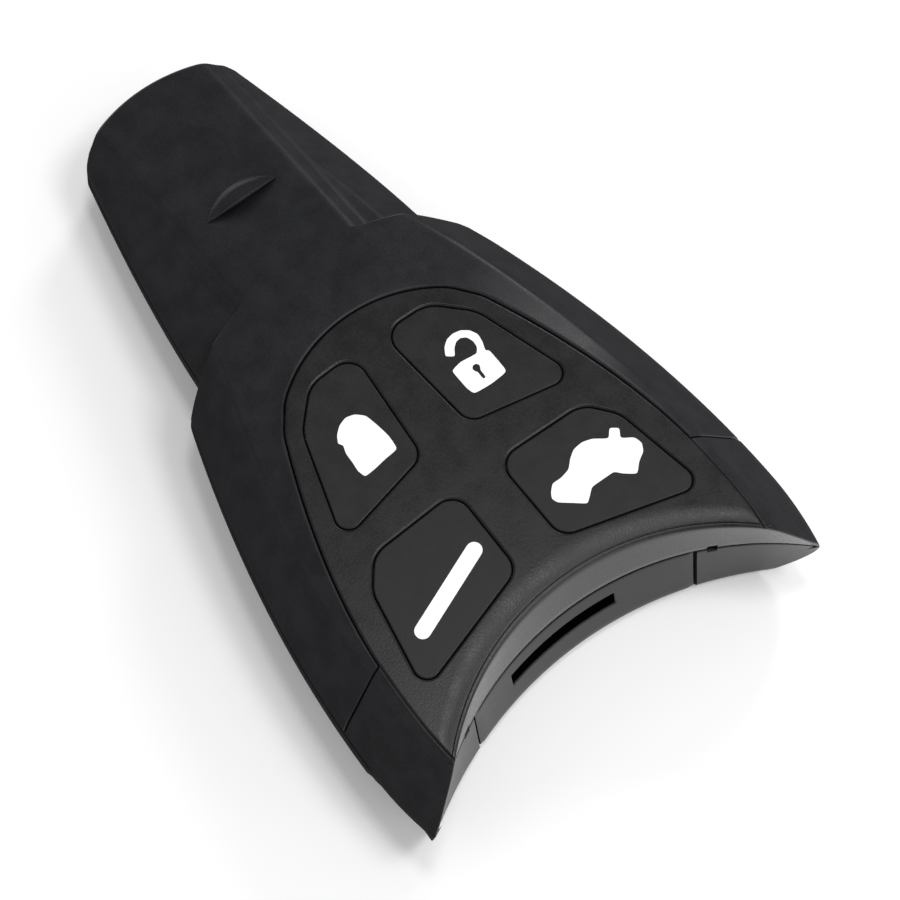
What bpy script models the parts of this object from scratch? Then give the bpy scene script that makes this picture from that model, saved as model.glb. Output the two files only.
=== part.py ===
"""Wedge-shaped remote key with four keys, a lift-off cover and an emergency blade slot.

The fob lies on its flat back with the keys up. X runs across it, Y runs from the hollow tail to the
rounded nose and Z points up. A station is a distance from the tail corners towards the nose, and the
origin is the middle of the back. All sizes are in metres.
"""

import math

import bmesh
import bpy
from mathutils import Matrix, Vector

# Overall form
LENGTH = 0.0860
THICKNESS = 0.0160
WALL = 0.0016
FIT_GAP = 0.0003

# Outline of the body, half-widths at the parting line
WIDEST_HALF = 0.0261
WIDEST_AT = 0.0090
TAIL_TUCK = 0.0011
SHOULDER_HALF = 0.0180
SHOULDER_AT = 0.0527
FLANK_POWER = 1.9
SHOULDER_RADIUS = 0.0310
SHOULDER_APEX = 0.0572

# Outline of the nose
NOSE_ROOT_HALF = 0.0156
NOSE_ROOT_AT = 0.0490
NOSE_TIP_HALF = 0.0109
NOSE_TIP_IN = 0.0053
NOSE_POWER = 1.5
NOSE_FLAT_HALF = 0.0072
TIP_RADIUS = 0.0175

# Heights along the fob
PARTING_HEIGHT = 0.0093
PARTING_DROP = 0.0030
NOSE_DROP = 0.0060
NOSE_LIFT = 0.0025

# Hollow tail, as arcs from corner to corner at the top edge, the parting line and the bottom edge
TAIL_TOP_APEX = 0.0118
TAIL_TOP_IN = 0.0022
TAIL_MIDDLE_APEX = 0.0106
TAIL_BOTTOM_APEX = 0.0088
TAIL_BOTTOM_OUT = 0.0011
TAIL_BOTTOM_ROUND = 0.0012

# Shape of the rim and the rounded back
RIDGE_IN = 0.0048
RIDGE_DROP = 0.0009
RIDGE_ROUND = 0.0008
WAIST_ROUND = 0.0009
WAIST_BAND = 0.0015
BACK_ROUND = 0.0065
FLUTE_WIDTH = 0.0016
FLUTE_DEPTH = 0.0014

# Lift-off cover
COVER_APEX = 0.0480
COVER_CROWN = 0.0165
RIM_WIDTH = 0.0061
RIM_SPREAD = 0.0039
RIM_POWER = 1.6
SPLIT_AT = 0.0159
SPLIT_FALL = 0.30
LEDGE_WIDTH = 0.0012
LEDGE_THICKNESS = 0.0011
STYLE_GROOVE = 0.0003
PRY_NOTCH = 0.0010
PRY_NOTCH_AT = 0.0154
HOOK_WIDTH = 0.0040
HOOK_THICKNESS = 0.0010
HOOK_DEPTH = 0.0030

# Keys and the rubber mat that seals them
KEY_SINK = 0.0001
KEY_FLANGE = 0.0006
KEY_TRAVEL = 0.0005
MAT_THICKNESS = 0.0009
BOSS_RADIUS = 0.0015
# Corners of a key as distance across, distance back from the cover's apex and radius.
# A distance across is from the centre line, or when negative from the shield's side.
UPPER_KEY = ((0.0020, 0.0038, 0.0020), (-0.0032, 0.0040, 0.0035), (-0.0021, 0.0077, 0.0050),
             (-0.0026, 0.0194, 0.0013), (0.0031, 0.0169, 0.0018))
LOWER_KEY = ((0.0028, 0.0222, 0.0020), (-0.0050, 0.0226, 0.0030), (-0.0032, 0.0257, 0.0035),
             (-0.0023, 0.0367, 0.0013), (0.0029, 0.0323, 0.0020))
UPPER_SWITCH = (0.0080, 0.0365)
LOWER_SWITCH = (0.0100, 0.0190)

# Crescent on the nose
CRESCENT_AHEAD = 0.0095
CRESCENT_HALF = 0.0046
CRESCENT_BULGE = 0.0026
CRESCENT_RISE = 0.0005
CRESCENT_DEPTH = 0.0006
CRESCENT_RUN = 0.0060
CRESCENT_LIP = 0.0002
CRESCENT_TIP = 0.03

# Circuit board and what it carries
BOARD_THICKNESS = 0.0008
BOARD_SIDE_ROOM = 0.0086
BOARD_MARGIN = 0.0045
SWITCH_SIDE = 0.0045
SWITCH_HEIGHT = 0.0008
PLUNGER_RADIUS = 0.0009
PLUNGER_LENGTH = 0.0009
CHIP_SIDE = 0.0060
CHIP_HEIGHT = 0.0009
CRYSTAL_LENGTH = 0.0050
CRYSTAL_WIDTH = 0.0030

# Coin cell and its contacts
CELL_RADIUS = 0.0100
CELL_THICKNESS = 0.0025
CELL_EDGE = 0.0004
CELL_AT = 0.0347
CONTACT_THICKNESS = 0.0004
CONTACT_WIDTH = 0.0030

# Blade guide
SLOT_WIDTH = 0.0138
SLOT_SIDE = -0.0014
SLOT_HEIGHT = 0.0022
SLOT_CENTRE = 0.0058
SLOT_DEPTH = 0.0040
BLADE_WIDTH = 0.0104
BLADE_HEIGHT = 0.0018
BLADE_END = 0.0530
GUIDE_WALL = 0.0010
GUIDE_FACE_HALF = 0.0145

# Blade latch and its release button on the back
RELEASE_AT = 0.0220
RELEASE_RADIUS = 0.0047
RELEASE_RECESS = 0.0004
RELEASE_TRAVEL = 0.0006
LATCH_PLATE = 0.0005
LATCH_RING = 0.0010
LATCH_ARM = 0.0010
LATCH_BAR = 0.0025
SPRING_RADIUS = 0.0010
SPRING_WIRE = 0.00035
SPRING_TURNS = 2.5
SPRING_EAR = 0.0030

# Aerial and transponder in the nose
CORE_LENGTH = 0.0140
CORE_SIDE = 0.0030
CORE_IN = 0.0210
WINDING_LENGTH = 0.0090
WINDING_THICKNESS = 0.0006
TRANSPONDER_LENGTH = 0.0110
TRANSPONDER_WIDTH = 0.0055
TRANSPONDER_HEIGHT = 0.0025
TRANSPONDER_IN = 0.0115

# Posts and ribs
POST_RADIUS = 0.0015
REAR_POST = (0.0150, 0.0220)
FRONT_POST_X = 0.0105
FRONT_POST_BACK = 0.0077
PEG_X = 0.0085
PEG_BACK = 0.0047
RIB = 0.0012

# Places along the fob and across it that follow from the sizes above
TAIL_HALF = WIDEST_HALF - TAIL_TUCK
BOARD_HALF = WIDEST_HALF - BOARD_SIDE_ROOM
NOSE_TIP_AT = LENGTH - NOSE_TIP_IN
TAPER_FROM = COVER_APEX
CRESCENT_AT = SHOULDER_APEX + CRESCENT_AHEAD
CORE_AT = LENGTH - CORE_IN
TRANSPONDER_AT = LENGTH - TRANSPONDER_IN
BOARD_POSTS = (REAR_POST, (FRONT_POST_X, SHOULDER_APEX - FRONT_POST_BACK))
PEG_AT = (PEG_X, SHOULDER_APEX - PEG_BACK)
NOTCH_END = TAIL_MIDDLE_APEX + WALL + 2 * FIT_GAP
HEAD_END = TAIL_MIDDLE_APEX + SLOT_DEPTH + GUIDE_WALL
ARM_AT = HEAD_END + WALL
TOOTH_HALF = BLADE_WIDTH / 4
SPRING_X = BLADE_WIDTH / 2 + GUIDE_WALL + FIT_GAP + SPRING_EAR / 2

# Heights inside, each worked out from the piece below or above it
FLOOR = WALL
PANEL_UNDERSIDE = THICKNESS - WALL
MAT_TOP = PANEL_UNDERSIDE - FIT_GAP
MAT_BOTTOM = MAT_TOP - MAT_THICKNESS
BOSS_BOTTOM = MAT_BOTTOM - FIT_GAP
PLUNGER_TOP = BOSS_BOTTOM - FIT_GAP
SWITCH_TOP = PLUNGER_TOP - KEY_TRAVEL
SWITCH_BOTTOM = SWITCH_TOP - SWITCH_HEIGHT
BOARD_TOP = SWITCH_BOTTOM - FIT_GAP
BOARD_BOTTOM = BOARD_TOP - BOARD_THICKNESS
CELL_TOP = BOARD_BOTTOM - FIT_GAP
CELL_BOTTOM = CELL_TOP - CELL_THICKNESS
GUIDE_BOTTOM = FLOOR + FIT_GAP
GUIDE_TOP = CELL_BOTTOM - FIT_GAP
LEDGE_TOP = MAT_BOTTOM - FIT_GAP
PLATE_BOTTOM = FLOOR + FIT_GAP
PLATE_TOP = PLATE_BOTTOM + LATCH_PLATE
PLATE_LIMIT = PLATE_TOP + RELEASE_TRAVEL + FIT_GAP
BLADE_FLOOR = SLOT_CENTRE - SLOT_HEIGHT / 2
TOOTH_LOW = BLADE_FLOOR + BLADE_HEIGHT - RELEASE_TRAVEL + FIT_GAP / 3
SPRING_CEILING = GUIDE_TOP - GUIDE_WALL

# Finishes as base colour, roughness and metallic
CASE_BLACK = ((0.020, 0.021, 0.024), 0.55, 0.0)
COVER_BLACK = ((0.030, 0.031, 0.033), 0.50, 0.0)
KEY_RUBBER = ((0.024, 0.025, 0.027), 0.65, 0.0)
GUIDE_BLACK = ((0.035, 0.036, 0.038), 0.50, 0.0)
BOARD_GREEN = ((0.012, 0.110, 0.045), 0.45, 0.0)
CHIP_BLACK = ((0.015, 0.015, 0.016), 0.40, 0.0)
STEEL = ((0.560, 0.560, 0.540), 0.30, 1.0)
SPRING_STEEL = ((0.450, 0.450, 0.440), 0.35, 1.0)
COPPER = ((0.700, 0.300, 0.130), 0.35, 1.0)
FERRITE = ((0.060, 0.058, 0.055), 0.60, 0.0)
BRASS = ((0.720, 0.560, 0.250), 0.32, 1.0)

PLAN = Matrix.Identity(4)
SIDE = Matrix(((0, 0, 1, 0), (1, 0, 0, 0), (0, 1, 0, 0), (0, 0, 0, 1)))
FRONT = Matrix(((1, 0, 0, 0), (0, 0, -1, 0), (0, 1, 0, 0), (0, 0, 0, 1)))
WELD = 0.000001
SKIN_STEP = 0.00003
MARGIN = 0.0100
REACH = LENGTH


# Scene set-up

def clear_scene():
    for item in list(bpy.data.objects):
        bpy.data.objects.remove(item, do_unlink=True)


def new_collection(name):
    group = bpy.data.collections.new(name)
    bpy.context.scene.collection.children.link(group)
    return group


def material(name, finish):
    colour, roughness, metallic = finish
    mat = bpy.data.materials.new(name)
    mat.use_nodes = True
    shader = mat.node_tree.nodes["Principled BSDF"]
    shader.inputs["Base Color"].default_value = (*colour, 1.0)
    shader.inputs["Roughness"].default_value = roughness
    shader.inputs["Metallic"].default_value = metallic
    return mat


def place(station):
    """The Y of a station."""
    return station - LENGTH / 2


# Solids from Blender's own shapes

def add_mesh(name, mesh):
    """Puts a mesh among the cutters, where a piece starts before it is finished."""
    piece = bpy.data.objects.new(name, mesh)
    CUTTERS.objects.link(piece)
    piece.hide_render = True
    piece.display_type = "WIRE"
    return piece


def from_bmesh(name, bm):
    bmesh.ops.recalc_face_normals(bm, faces=bm.faces)
    mesh = bpy.data.meshes.new(name)
    bm.to_mesh(mesh)
    bm.free()
    return add_mesh(name, mesh)


def block(name, across, along, up):
    """A box between two values on each axis, with its ends along Y given as stations."""
    bm = bmesh.new()
    bmesh.ops.create_cube(bm, size=1.0)
    low = Vector((across[0], place(along[0]), up[0]))
    high = Vector((across[1], place(along[1]), up[1]))
    size = high - low
    bmesh.ops.scale(bm, vec=size, verts=bm.verts)
    bmesh.ops.translate(bm, vec=(low + high) / 2, verts=bm.verts)
    return from_bmesh(name, bm)


def rod(name, radius, x, station, up, segments=24):
    """An upright cylinder."""
    bm = bmesh.new()
    bmesh.ops.create_cone(bm, cap_ends=True, segments=segments, radius1=radius, radius2=radius,
                          depth=up[1] - up[0])
    bmesh.ops.translate(bm, vec=(x, place(station), (up[0] + up[1]) / 2), verts=bm.verts)
    return from_bmesh(name, bm)


def flat_solid(name, outline, low, high, frame=PLAN):
    """An outline given depth. The frame turns its plane, and low and high lie along its normal."""
    curve = bpy.data.curves.new(name, "CURVE")
    curve.dimensions = "2D"
    curve.fill_mode = "BOTH"
    curve.extrude = (high - low) / 2
    spline = curve.splines.new("POLY")
    spline.points.add(len(outline) - 1)
    for point, (a, b) in zip(spline.points, outline):
        point.co = (a, b, 0.0, 1.0)
    spline.use_cyclic_u = True
    drawn = bpy.data.objects.new(name, curve)
    CUTTERS.objects.link(drawn)
    drawn.matrix_world = frame @ Matrix.Translation((0.0, 0.0, (low + high) / 2))
    bpy.context.view_layer.update()
    piece = baked(drawn, name)
    bpy.data.objects.remove(drawn, do_unlink=True)
    return piece


def plan_solid(name, outline, low, high):
    """A flat solid whose outline is across the fob and along it, as stations."""
    return flat_solid(name, [(x, place(s)) for x, s in outline], low, high)


def baked(source, name):
    """A new object with what the source looks like after its modifiers, in world space."""
    shown = source.evaluated_get(bpy.context.evaluated_depsgraph_get())
    mesh = bpy.data.meshes.new_from_object(shown)
    mesh.transform(source.matrix_world)
    bm = bmesh.new()
    bm.from_mesh(mesh)
    bmesh.ops.remove_doubles(bm, verts=bm.verts, dist=WELD)
    bmesh.ops.recalc_face_normals(bm, faces=bm.faces)
    bm.to_mesh(mesh)
    bm.free()
    return add_mesh(name, mesh)


def loft(name, rings):
    """A skin over closed sections with as many points each, capped at both ends."""
    bm = bmesh.new()
    rows = [[bm.verts.new(point) for point in ring] for ring in rings]
    count = len(rows[0])
    for row, following in zip(rows, rows[1:]):
        for i in range(count):
            j = (i + 1) % count
            bm.faces.new((row[i], row[j], following[j], following[i]))
    bm.faces.new(rows[0])
    bm.faces.new(rows[-1])
    bmesh.ops.triangulate(bm, faces=bm.faces)
    return from_bmesh(name, bm)


def combine(piece, operation, others):
    for other in others:
        step = piece.modifiers.new(other.name, "BOOLEAN")
        step.operation = operation
        step.solver = "EXACT"
        step.object = other


def cut(piece, *others):
    combine(piece, "DIFFERENCE", others)


def join(piece, *others):
    combine(piece, "UNION", others)


def keep_inside(piece, *others):
    combine(piece, "INTERSECT", others)


def copy_of(source, name):
    bpy.context.view_layer.update()
    return baked(source, name)


def finish(piece, name, mat, holder, origin=(0.0, 0.0, 0.0)):
    """Turns a worked solid into a named piece with its origin where it turns or slides."""
    bpy.context.view_layer.update()
    done = baked(piece, name)
    done.name = name
    CUTTERS.objects.unlink(done)
    FOB.objects.link(done)
    done.hide_render = False
    done.display_type = "TEXTURED"
    done.data.transform(Matrix.Translation(-Vector(origin)))
    done.location = origin
    done.parent = holder
    done.data.materials.clear()
    done.data.materials.append(mat)
    done.data.shade_smooth()
    done.data.set_sharp_from_angle(angle=math.radians(30))
    return done


def frame_empty(name):
    empty = bpy.data.objects.new(name, None)
    empty.empty_display_size = WIDEST_HALF
    FOB.objects.link(empty)
    return empty


# Outlines

def offset_outline(outline, distance):
    """Moves a closed outline outwards by a distance, or inwards by a negative one."""
    area = sum(a[0] * b[1] - b[0] * a[1] for a, b in zip(outline, outline[1:] + outline[:1]))
    turn = 1.0 if area > 0 else -1.0
    moved = []
    for i, point in enumerate(outline):
        here = Vector(point)
        into = (here - Vector(outline[i - 1])).normalized()
        out = (Vector(outline[(i + 1) % len(outline)]) - here).normalized()
        normal = Vector((into.y + out.y, -into.x - out.x)).normalized() * turn
        stretch = max(normal.dot(Vector((into.y, -into.x))) * turn, 0.3)
        moved.append(tuple(here + normal * distance / stretch))
    return moved


def rounded(corners, steps=4):
    """A polygon whose corners, each with a radius, are replaced by arcs."""
    outline = []
    count = len(corners)
    for i, (x, s, radius) in enumerate(corners):
        here = Vector((x, s))
        before = (Vector(corners[i - 1][:2]) - here).normalized()
        after = (Vector(corners[(i + 1) % count][:2]) - here).normalized()
        half = before.angle(after) / 2
        centre = here + (before + after).normalized() * radius / math.sin(half)
        start = here + before * radius / math.tan(half) - centre
        end = here + after * radius / math.tan(half) - centre
        sweep = start.angle_signed(end)
        for k in range(steps + 1):
            outline.append(tuple(centre + Matrix.Rotation(-sweep * k / steps, 2) @ start))
    return outline


def mirrored(outline):
    return [(-x, s) for x, s in reversed(outline)]


def both_sides(right):
    """Closes an outline from its right half, drawn from the nose end to the tail end."""
    return right + [(-x, s) for x, s in reversed(right) if x > WELD]


# Form of the fob along its length

def body_half(station):
    if station < WIDEST_AT:
        return WIDEST_HALF - (WIDEST_HALF - TAIL_HALF) * ((WIDEST_AT - station) / WIDEST_AT) ** 2
    part = (station - WIDEST_AT) / (SHOULDER_AT - WIDEST_AT)
    return WIDEST_HALF - (WIDEST_HALF - SHOULDER_HALF) * part ** FLANK_POWER


def nose_half(station):
    part = (station - NOSE_ROOT_AT) / (NOSE_TIP_AT - NOSE_ROOT_AT)
    return NOSE_ROOT_HALF - (NOSE_ROOT_HALF - NOSE_TIP_HALF) * min(max(part, 0.0), 1.05) ** NOSE_POWER


def taper(station):
    return max(station - TAPER_FROM, 0.0) / (LENGTH - TAPER_FROM)


def top_height(station):
    return THICKNESS - NOSE_DROP * taper(station)


def parting_height(station):
    return PARTING_HEIGHT - PARTING_DROP * taper(station)


def bottom_height(station):
    return NOSE_LIFT * taper(station) ** 2


def bezel_half(station):
    """Half-width of the cover's outline above its split lines."""
    part = max(station - SPLIT_AT, 0.0) / (COVER_APEX - SPLIT_AT)
    side = body_half(station) - RIM_WIDTH - RIM_SPREAD * part ** RIM_POWER
    rise = station - (COVER_APEX - COVER_CROWN)
    if rise < 0.0:
        return side
    return min(side, math.sqrt(max(COVER_CROWN ** 2 - rise ** 2, 0.0)))


def rounded_back(half, waist, floor, steps=5):
    """Points from the widest line round to the flat back."""
    points = []
    for k in range(1, steps + 1):
        angle = math.radians(90.0 * k / steps)
        points.append((half - BACK_ROUND * (1 - math.cos(angle)),
                       waist - (waist - floor) * math.sin(angle)))
    return points


def body_section(station, inset):
    """Right half of the body's section, from the flat top to the flat back."""
    half = body_half(station) - inset
    top = top_height(station) - inset
    floor = bottom_height(station) + inset
    waist = parting_height(station)
    ridge = half - RIDGE_IN
    flat = min(max(bezel_half(station), NOSE_FLAT_HALF) + FIT_GAP, ridge - RIDGE_ROUND - FIT_GAP)
    points = [(flat, top),
              (ridge - RIDGE_ROUND, top - RIDGE_DROP / 2),
              (ridge, top - RIDGE_DROP),
              (ridge + RIDGE_ROUND, top - RIDGE_DROP - RIDGE_ROUND),
              (half - WAIST_ROUND, waist + WAIST_BAND),
              (half - WAIST_ROUND / 4, waist + WAIST_BAND / 4),
              (half, waist - WAIST_BAND / 2)]
    return points + rounded_back(half, waist - WAIST_BAND, floor)


def nose_section(station, inset):
    """Right half of the nose's section, with the shallow flute beside its flat top."""
    half = nose_half(station) - inset
    top = top_height(station) - inset - SKIN_STEP
    floor = bottom_height(station) + inset + SKIN_STEP
    waist = parting_height(station)
    edge = min(NOSE_FLAT_HALF, half - 2 * FLUTE_WIDTH)
    brow = min(max(half - RIDGE_IN, edge + FLUTE_WIDTH), half - RIDGE_ROUND)
    points = [(edge, top),
              (edge + FLUTE_WIDTH * 0.4, top - FLUTE_DEPTH * 0.25),
              (edge + FLUTE_WIDTH * 0.75, top - FLUTE_DEPTH * 0.7),
              (brow, top - FLUTE_DEPTH),
              (brow + RIDGE_ROUND / 2, top - FLUTE_DEPTH - RIDGE_ROUND / 2),
              (half - WAIST_ROUND / 2, waist + WAIST_BAND),
              (half, waist - WAIST_BAND / 2)]
    return points + rounded_back(half, waist - WAIST_BAND, floor, 4)


def section_ring(right, station):
    """A closed ring of points at a station from the right half of its section."""
    y = place(station)
    return [(x, y, z) for x, z in right] + [(-x, y, z) for x, z in reversed(right)]


def corner_arc(corner, apex):
    """Radius of the arc through both tail corners and its apex."""
    return (corner ** 2 + apex ** 2) / (2 * apex)


def tail_arc(height):
    """Radius and apex station of the tail's hollow at a height."""
    middle_radius = corner_arc(TAIL_HALF, TAIL_MIDDLE_APEX)
    if height > PARTING_HEIGHT:
        part = (height - PARTING_HEIGHT) / (THICKNESS - PARTING_HEIGHT)
        far_radius, far_apex = corner_arc(TAIL_HALF - TAIL_TOP_IN, TAIL_TOP_APEX), TAIL_TOP_APEX
    else:
        part = (PARTING_HEIGHT - height) / (PARTING_HEIGHT - TAIL_BOTTOM_ROUND)
        far_radius, far_apex = corner_arc(TAIL_HALF + TAIL_BOTTOM_OUT, TAIL_BOTTOM_APEX), TAIL_BOTTOM_APEX
    radius = middle_radius + (far_radius - middle_radius) * part
    apex = TAIL_MIDDLE_APEX + (far_apex - TAIL_MIDDLE_APEX) * part
    return radius, apex


def tail_cutter(name, grown):
    """What the hollow tail takes away, grown forward by a wall or a clearance."""
    levels = [(THICKNESS + WALL, 0.0), (PARTING_HEIGHT, 0.0)]
    for lean in (0, 30, 60, 80):
        angle = math.radians(lean)
        levels.append((TAIL_BOTTOM_ROUND * (1 - math.sin(angle)),
                       TAIL_BOTTOM_ROUND * (1 - math.cos(angle))))
    levels.append((-WALL, levels[-1][1]))
    rings = []
    for height, eased in levels:
        radius, apex = tail_arc(max(height, TAIL_BOTTOM_ROUND))
        middle = apex - radius
        reach = radius + grown + eased
        ring = []
        for k in range(96):
            angle = 2 * math.pi * k / 96
            ring.append((reach * math.cos(angle), place(middle + reach * math.sin(angle)), height))
        rings.append(ring)
    return loft(name, rings)


def arc_outline(radius, middle, start, end, steps):
    """Points on an arc about a station on the centre line, by angles in degrees."""
    angles = [math.radians(start + (end - start) * k / steps) for k in range(steps + 1)]
    return [(radius * math.cos(a), middle + radius * math.sin(a)) for a in angles]


def ahead_of_shoulder(name, inset):
    """What lies in front of the body's arched shoulder."""
    middle = SHOULDER_APEX - SHOULDER_RADIUS
    arc = arc_outline(SHOULDER_RADIUS - inset, middle, 35, 145, 24)
    outline = arc + [(-REACH, arc[-1][1]), (-REACH, middle + REACH), (REACH, middle + REACH),
                     (REACH, arc[0][1])]
    return plan_solid(name, outline, -MARGIN, THICKNESS + MARGIN)


def nose_plan(name, inset):
    """The nose's rounded tip in plan, open towards the body."""
    middle = LENGTH - TIP_RADIUS
    arc = arc_outline(TIP_RADIUS - inset, middle, 0, 180, 32)
    root = NOSE_ROOT_AT - MARGIN
    outline = arc + [(-TIP_RADIUS + inset, root), (TIP_RADIUS - inset, root)]
    return plan_solid(name, outline, -MARGIN, THICKNESS + MARGIN)


def spaced(start, end, steps, turn):
    """Stations at even steps from start to end, with the one where the form turns among them."""
    even = [start + (end - start) * k / steps for k in range(steps + 1)]
    return sorted([s for s in even if abs(s - turn) > WALL] + [turn])


def fob_form(name, inset):
    """The whole fob as one solid, or the space inside its walls when inset."""
    along = spaced(-2 * WALL, SHOULDER_APEX + WALL, 17, TAPER_FROM)
    body = loft(name + "_body", [section_ring(body_section(s, inset), s) for s in along])
    cut(body, ahead_of_shoulder(name + "_shoulder", inset))
    along = spaced(NOSE_ROOT_AT - 4 * WALL, LENGTH + WALL, 10, TAPER_FROM)
    nose = loft(name + "_nose", [section_ring(nose_section(s, inset), s) for s in along])
    keep_inside(nose, nose_plan(name + "_tip", inset))
    join(body, nose)
    cut(body, tail_cutter(name + "_tail", inset))
    return copy_of(body, name)


def parting_side(name, above):
    """All the space above or below the parting surface, less half a gap."""
    lift = FIT_GAP / 2 if above else -FIT_GAP / 2
    far = REACH if above else -REACH
    line = [(s, parting_height(s) + lift) for s in (-MARGIN, TAPER_FROM, LENGTH + MARGIN)]
    outline = [(place(s), z) for s, z in line] + [(place(line[-1][0]), far), (place(line[0][0]), far)]
    return flat_solid(name, outline, -REACH, REACH, SIDE)


# Outline of the cover and the places in it

def bezel_side(low, high, steps):
    """Right side of the cover's outline from the apex down, closer together near the apex."""
    return [(bezel_half(high - (high - low) * (k / steps) ** 2), high - (high - low) * (k / steps) ** 2)
            for k in range(steps + 1)]


def cover_outline():
    """Plan of the cover: the shield, then the split lines out to the tail corners."""
    right = bezel_side(SPLIT_AT, COVER_APEX, 16)
    edge = right[-1][0]
    right += [(REACH / 2, SPLIT_AT - SPLIT_FALL * (REACH / 2 - edge)), (REACH / 2, -MARGIN)]
    return both_sides(right)


def shield_outline():
    """The shield carried on to the tail, as the mat and the ledge under it follow it."""
    return both_sides(bezel_side(0.0, COVER_APEX, 18))


def key_outline(corners):
    """Outline of a right-hand key, from corners that are set against the shield."""
    placed = []
    for across, back, radius in corners:
        station = COVER_APEX - back
        placed.append((across if across > 0 else bezel_half(station) + across, station, radius))
    return rounded(placed)


def key_places():
    """Each key's name, outline and the place of its switch."""
    upper = key_outline(UPPER_KEY)
    lower = key_outline(LOWER_KEY)
    return (("unlock", upper, UPPER_SWITCH),
            ("lock", mirrored(upper), (-UPPER_SWITCH[0], UPPER_SWITCH[1])),
            ("trunk", lower, LOWER_SWITCH),
            ("light", mirrored(lower), (-LOWER_SWITCH[0], LOWER_SWITCH[1])))


# Casings

def thumb_notch(piece):
    """The crescent on the nose: a raised hood whose lip overhangs a scooped ramp on its tail side."""
    hood = []
    scoop = []
    for k in range(9):
        part = k / 4 - 1
        rise = 1.0 + CRESCENT_TIP - part * part
        front = CRESCENT_AT + CRESCENT_BULGE * rise
        back = CRESCENT_AT - CRESCENT_RUN * rise
        top = top_height(CRESCENT_AT)
        x = CRESCENT_HALF * part
        hood.append([(x, place(CRESCENT_AT - CRESCENT_LIP), top + CRESCENT_RISE * rise),
                     (x, place(front), top_height(front) - CRESCENT_LIP / 2),
                     (x, place(CRESCENT_AT - CRESCENT_LIP), top - WALL / 2)])
        x = (CRESCENT_HALF + CRESCENT_LIP) * part
        scoop.append([(x, place(CRESCENT_AT), top - CRESCENT_DEPTH * rise),
                      (x, place(CRESCENT_AT), top + WALL),
                      (x, place(back), top + WALL)])
    cut(piece, loft("crescent_scoop", scoop))
    join(piece, loft("crescent_hood", hood))


def front_shell(outer, middle, inner, holder):
    """Nose top and the rim that arches round the cover, with the ledge that carries it."""
    piece = copy_of(outer, "front_shell_work")
    keep_inside(piece, parting_side("front_side", True))
    cut(piece, inner)
    ledge = copy_of(middle, "ledge")
    keep_inside(ledge, block("ledge_slab", (-REACH, REACH), (SPLIT_AT + WALL, COVER_APEX + 2 * WALL),
                             (LEDGE_TOP - LEDGE_THICKNESS, PANEL_UNDERSIDE + FIT_GAP)))
    cut(ledge, plan_solid("ledge_hole", offset_outline(shield_outline(), -LEDGE_WIDTH), 0.0, THICKNESS))
    join(piece, ledge)
    opening = plan_solid("cover_opening", offset_outline(cover_outline(), FIT_GAP),
                         -MARGIN, THICKNESS + MARGIN)
    cut(opening, block("ledge_space", (-REACH, REACH), (SPLIT_AT + 2 * FIT_GAP, LENGTH),
                       (-REACH, LEDGE_TOP)))
    cut(piece, opening)
    pegs = [rod("peg", POST_RADIUS, side * PEG_AT[0], PEG_AT[1],
                (BOARD_TOP + FIT_GAP, top_height(PEG_AT[1]) - WALL / 2)) for side in (-1, 1)]
    join(piece, *pegs)
    thumb_notch(piece)
    return finish(piece, "front_shell", material("front_shell_black", CASE_BLACK), holder)


def rear_shell(outer, inner, holder):
    """Back half with its posts, rails and cradles, cut for the blade guide and the release."""
    piece = copy_of(outer, "rear_shell_work")
    keep_inside(piece, parting_side("rear_side", False))
    cut(piece, inner)
    cut(piece, block("guide_notch", (-GUIDE_FACE_HALF, GUIDE_FACE_HALF), (-MARGIN, NOTCH_END),
                     (-MARGIN, THICKNESS)))
    for side in (-1, 1):
        cut(piece, block("rear_pry_notch", sorted((side * PRY_NOTCH_AT, side * (PRY_NOTCH_AT + PRY_NOTCH))),
                         (-MARGIN, SPLIT_AT - WALL), (PARTING_HEIGHT - PRY_NOTCH / 2, THICKNESS)))
    cut(piece, rod("release_hole", RELEASE_RADIUS + FIT_GAP, 0.0, RELEASE_AT, (-WALL, THICKNESS), 40))
    base = FLOOR / 2
    posts = []
    for side in (-1, 1):
        for x, station in BOARD_POSTS:
            posts.append(rod("post", POST_RADIUS, side * x, station, (base, BOARD_BOTTOM - FIT_GAP), 16))
        rail = BLADE_WIDTH / 2 + GUIDE_WALL + FIT_GAP
        posts.append(block("rail", sorted((side * rail, side * (rail + RIB))),
                           (CELL_AT + CELL_RADIUS + FIT_GAP, BLADE_END), (base, BLADE_FLOOR)))
    reach = CELL_RADIUS + FIT_GAP + POST_RADIUS
    for angle in (45, 135, 225, 315):
        x = reach * math.cos(math.radians(angle))
        station = CELL_AT + reach * math.sin(math.radians(angle))
        posts.append(rod("cell_post", POST_RADIUS, x, station,
                         (base, CELL_BOTTOM + CELL_THICKNESS / 2), 16))
    for side in (-1, 1):
        x = side * (CORE_LENGTH / 2 - RIB)
        posts.append(core_cradle(x))
    posts.append(transponder_cradle())
    join(piece, *posts)
    return finish(piece, "rear_shell", material("rear_shell_black", CASE_BLACK), holder)


def core_cradle(x):
    """A forked rib that holds the aerial core near one end."""
    low = bottom_height(CORE_AT) + WALL / 2
    rib = block("core_rib", (x - RIB / 2, x + RIB / 2),
                (CORE_AT - CORE_SIDE / 2 - RIB, CORE_AT + CORE_SIDE / 2 + RIB),
                (low, CORE_HEIGHT + CORE_SIDE / 2))
    slot = block("core_slot", (x - RIB, x + RIB),
                 (CORE_AT - CORE_SIDE / 2 - FIT_GAP, CORE_AT + CORE_SIDE / 2 + FIT_GAP),
                 (CORE_HEIGHT - CORE_SIDE / 2 - FIT_GAP, THICKNESS))
    cut(rib, slot)
    return copy_of(rib, "core_fork")


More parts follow.
